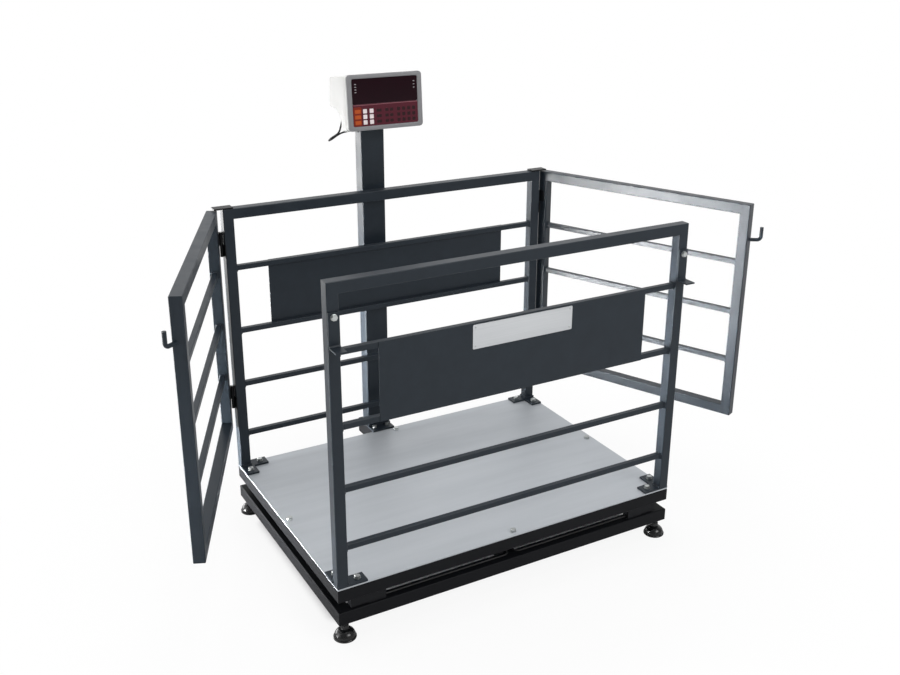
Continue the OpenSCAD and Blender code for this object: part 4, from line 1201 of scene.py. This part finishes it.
SOFT_BOXES = (
    SoftBox("left_softbox", (-4.6, 0.9, 1.9), (0.0, 0.2, 0.8), (3.0, 2.6), 42.0),
    SoftBox("rear_left_softbox", (-2.6, 4.2, 0.7), (-0.3, 0.3, 0.9), (3.4, 1.4), 100.0),
    SoftBox("low_left_softbox", (-3.4, 0.8, 0.35), (0.95, -0.05, 0.9), (1.6, 0.7), 21.0, 22.0),
    SoftBox("floor_strip", (-1.9, 0.45, 0.1), (0.95, 0.0, 0.6), (1.0, 0.2), 8.0, 40.0),
    SoftBox("front_softbox", (1.6, -4.6, 3.6), (0.0, 0.0, 0.7), (2.5, 2.0), 120.0),
    SoftBox("top_softbox", (0.0, 0.4, 4.6), (0.0, 0.0, 0.0), (3.0, 3.0), 95.0),
)


@dataclass
class Studio:
    """Camera at the photograph's place, a pale floor and soft light from the left, the front and above."""

    image: tuple[int, int] = (900, 675)
    focal_px: float = 1068.0
    principal_px: Flat = (471.3, 319.2)
    camera_at: Point = (-1.842, -3.294, 2.288)
    azimuth_deg: float = -30.45
    elevation_deg: float = 20.5
    roll_deg: float = 0.59
    sensor: float = 36.0
    ambient: float = 0.3
    sky_soft: float = 0.3
    floor_half: float = 60.0
    fade_from: float = 0.7
    fade_to: float = 1.8
    fade_least: float = 0.9
    shade_half: Point = (0.62, 0.34, 0.0)
    shade_from: float = 0.01
    shade_to: float = 0.08
    paint_reach: float = 2.6

    def camera(self) -> None:
        """Set up the camera that was solved from the photograph's straight edges."""
        az, el, roll = (math.radians(a) for a in (self.azimuth_deg, self.elevation_deg, self.roll_deg))
        back = Vector((math.sin(az) * math.cos(el), -math.cos(az) * math.cos(el), math.sin(el)))
        right = Vector((0, 0, 1)).cross(back).normalized()
        up = back.cross(right)
        tilted = math.cos(roll) * right + math.sin(roll) * up
        raised = -math.sin(roll) * right + math.cos(roll) * up
        data = bpy.data.cameras.new("camera")
        data.sensor_fit = "HORIZONTAL"
        data.sensor_width = self.sensor
        data.lens = self.focal_px * self.sensor / self.image[0]
        data.shift_x = (self.image[0] / 2 - self.principal_px[0]) / self.image[0]
        data.shift_y = (self.principal_px[1] - self.image[1] / 2) / self.image[0]
        camera = new_object("camera", data)
        turn = Matrix((tilted, raised, back)).transposed().to_4x4()
        camera.matrix_world = Matrix.Translation(self.camera_at) @ turn
        bpy.context.scene.camera = camera

    def world(self) -> None:
        """Plain ambient light; the camera sees it white, and so do reflections that look to the rear."""
        world = bpy.data.worlds.new("studio")
        bpy.context.scene.world = world
        world.use_nodes = True
        tree = world.node_tree
        tree.nodes.clear()
        rays = add(tree, "ShaderNodeLightPath").outputs
        bounced = add(tree, "ShaderNodeMath", {0: rays["Is Glossy Ray"], 1: rays["Is Transmission Ray"]},
                      operation="ADD", use_clamp=True)
        way = add(tree, "ShaderNodeSeparateXYZ", {0: add(tree, "ShaderNodeTexCoord").outputs["Generated"]})
        beyond = add(tree, "ShaderNodeMapRange", {
            "Value": way.outputs["Y"], "From Min": -self.sky_soft, "From Max": self.sky_soft},
            interpolation_type="SMOOTHSTEP")
        seen = add(tree, "ShaderNodeMath", {
            0: bounced, 1: beyond, 2: rays["Is Camera Ray"]},
            operation="MULTIPLY_ADD", use_clamp=True)
        level = add(tree, "ShaderNodeMapRange", {"Value": seen, "To Min": self.ambient, "To Max": 1.0})
        light = add(tree, "ShaderNodeBackground", {
            "Color": linear("#ffffff"), "Strength": level})
        add(tree, "ShaderNodeOutputWorld", {"Surface": light})

    def floor(self) -> None:
        """Lay a pale floor that keeps the shadow under the crate.

        Further out, the camera and reflections see it white.
        """
        data = bpy.data.meshes.new("floor")
        half = self.floor_half
        rim = [(-half, -half, 0.0), (half, -half, 0.0), (half, half, 0.0), (-half, half, 0.0)]
        data.from_pydata(rim, [], [(0, 1, 2, 3)])
        mat = bpy.data.materials.new("pale_floor")
        mat.use_nodes = True
        tree = mat.node_tree
        tree.nodes.clear()
        spot = add(tree, "ShaderNodeTexCoord").outputs["Object"]
        away = add(tree, "ShaderNodeVectorMath", {0: spot}, operation="LENGTH").outputs["Value"]
        far = add(tree, "ShaderNodeMapRange", {
            "Value": away, "From Min": self.fade_from, "From Max": self.fade_to, "To Min": self.fade_least},
            interpolation_type="SMOOTHSTEP")
        either = add(tree, "ShaderNodeVectorMath", {0: spot}, operation="ABSOLUTE")
        beyond = add(tree, "ShaderNodeVectorMath", {0: either, 1: self.shade_half},
                     operation="SUBTRACT")
        outside = add(tree, "ShaderNodeVectorMath", {0: beyond, 1: (0.0, 0.0, 0.0)},
                      operation="MAXIMUM")
        gap = add(tree, "ShaderNodeVectorMath", {0: outside}, operation="LENGTH")
        near = add(tree, "ShaderNodeMapRange", {
            "Value": gap.outputs["Value"], "From Min": self.shade_from, "From Max": self.shade_to},
            interpolation_type="SMOOTHSTEP")
        fade = add(tree, "ShaderNodeMath", {0: near, 1: far},
                   operation="MULTIPLY")
        rays = add(tree, "ShaderNodeLightPath").outputs
        direct = add(tree, "ShaderNodeMath", {0: rays["Is Camera Ray"], 1: fade}, operation="MULTIPLY")
        distant = add(tree, "ShaderNodeMapRange", {
            "Value": away, "From Min": self.paint_reach, "From Max": 2 * self.paint_reach},
            interpolation_type="SMOOTHSTEP")
        bounced = add(tree, "ShaderNodeMath", {0: rays["Is Glossy Ray"], 1: rays["Is Transmission Ray"]},
                      operation="ADD", use_clamp=True)
        share = add(tree, "ShaderNodeMath", {
            0: bounced, 1: distant, 2: direct}, operation="MULTIPLY_ADD")
        paint = add(tree, "ShaderNodeBsdfDiffuse", {"Color": linear("#f4f4f4")})
        white = add(tree, "ShaderNodeEmission", {"Color": linear("#ffffff"), "Strength": 1.0})
        mixed = add(tree, "ShaderNodeMixShader", {0: share, 1: paint, 2: white})
        add(tree, "ShaderNodeOutputMaterial", {"Surface": mixed})
        data.materials.append(mat)
        new_object("floor", data)

    def build(self) -> None:
        """Set up the whole studio."""
        bpy.context.scene.view_settings.view_transform = "Standard"
        self.camera()
        self.world()
        self.floor()
        for box in SOFT_BOXES:
            box.build()


def main() -> None:
    """Build the studio and every sub-assembly."""
    logging.basicConfig(level=logging.INFO, format="%(message)s")
    Studio().build()
    Indicator().build()
    Platform().build()
    Fasteners().build()
    beads = weld_tool()
    SidePanels().build(beads)
    for gate in (Gate(Body.LEFT_GATE, -1), Gate(Body.RIGHT_GATE, 1)):
        gate.build(beads)
    bpy.context.view_layer.update()


if __name__ == "__main__":
    main()
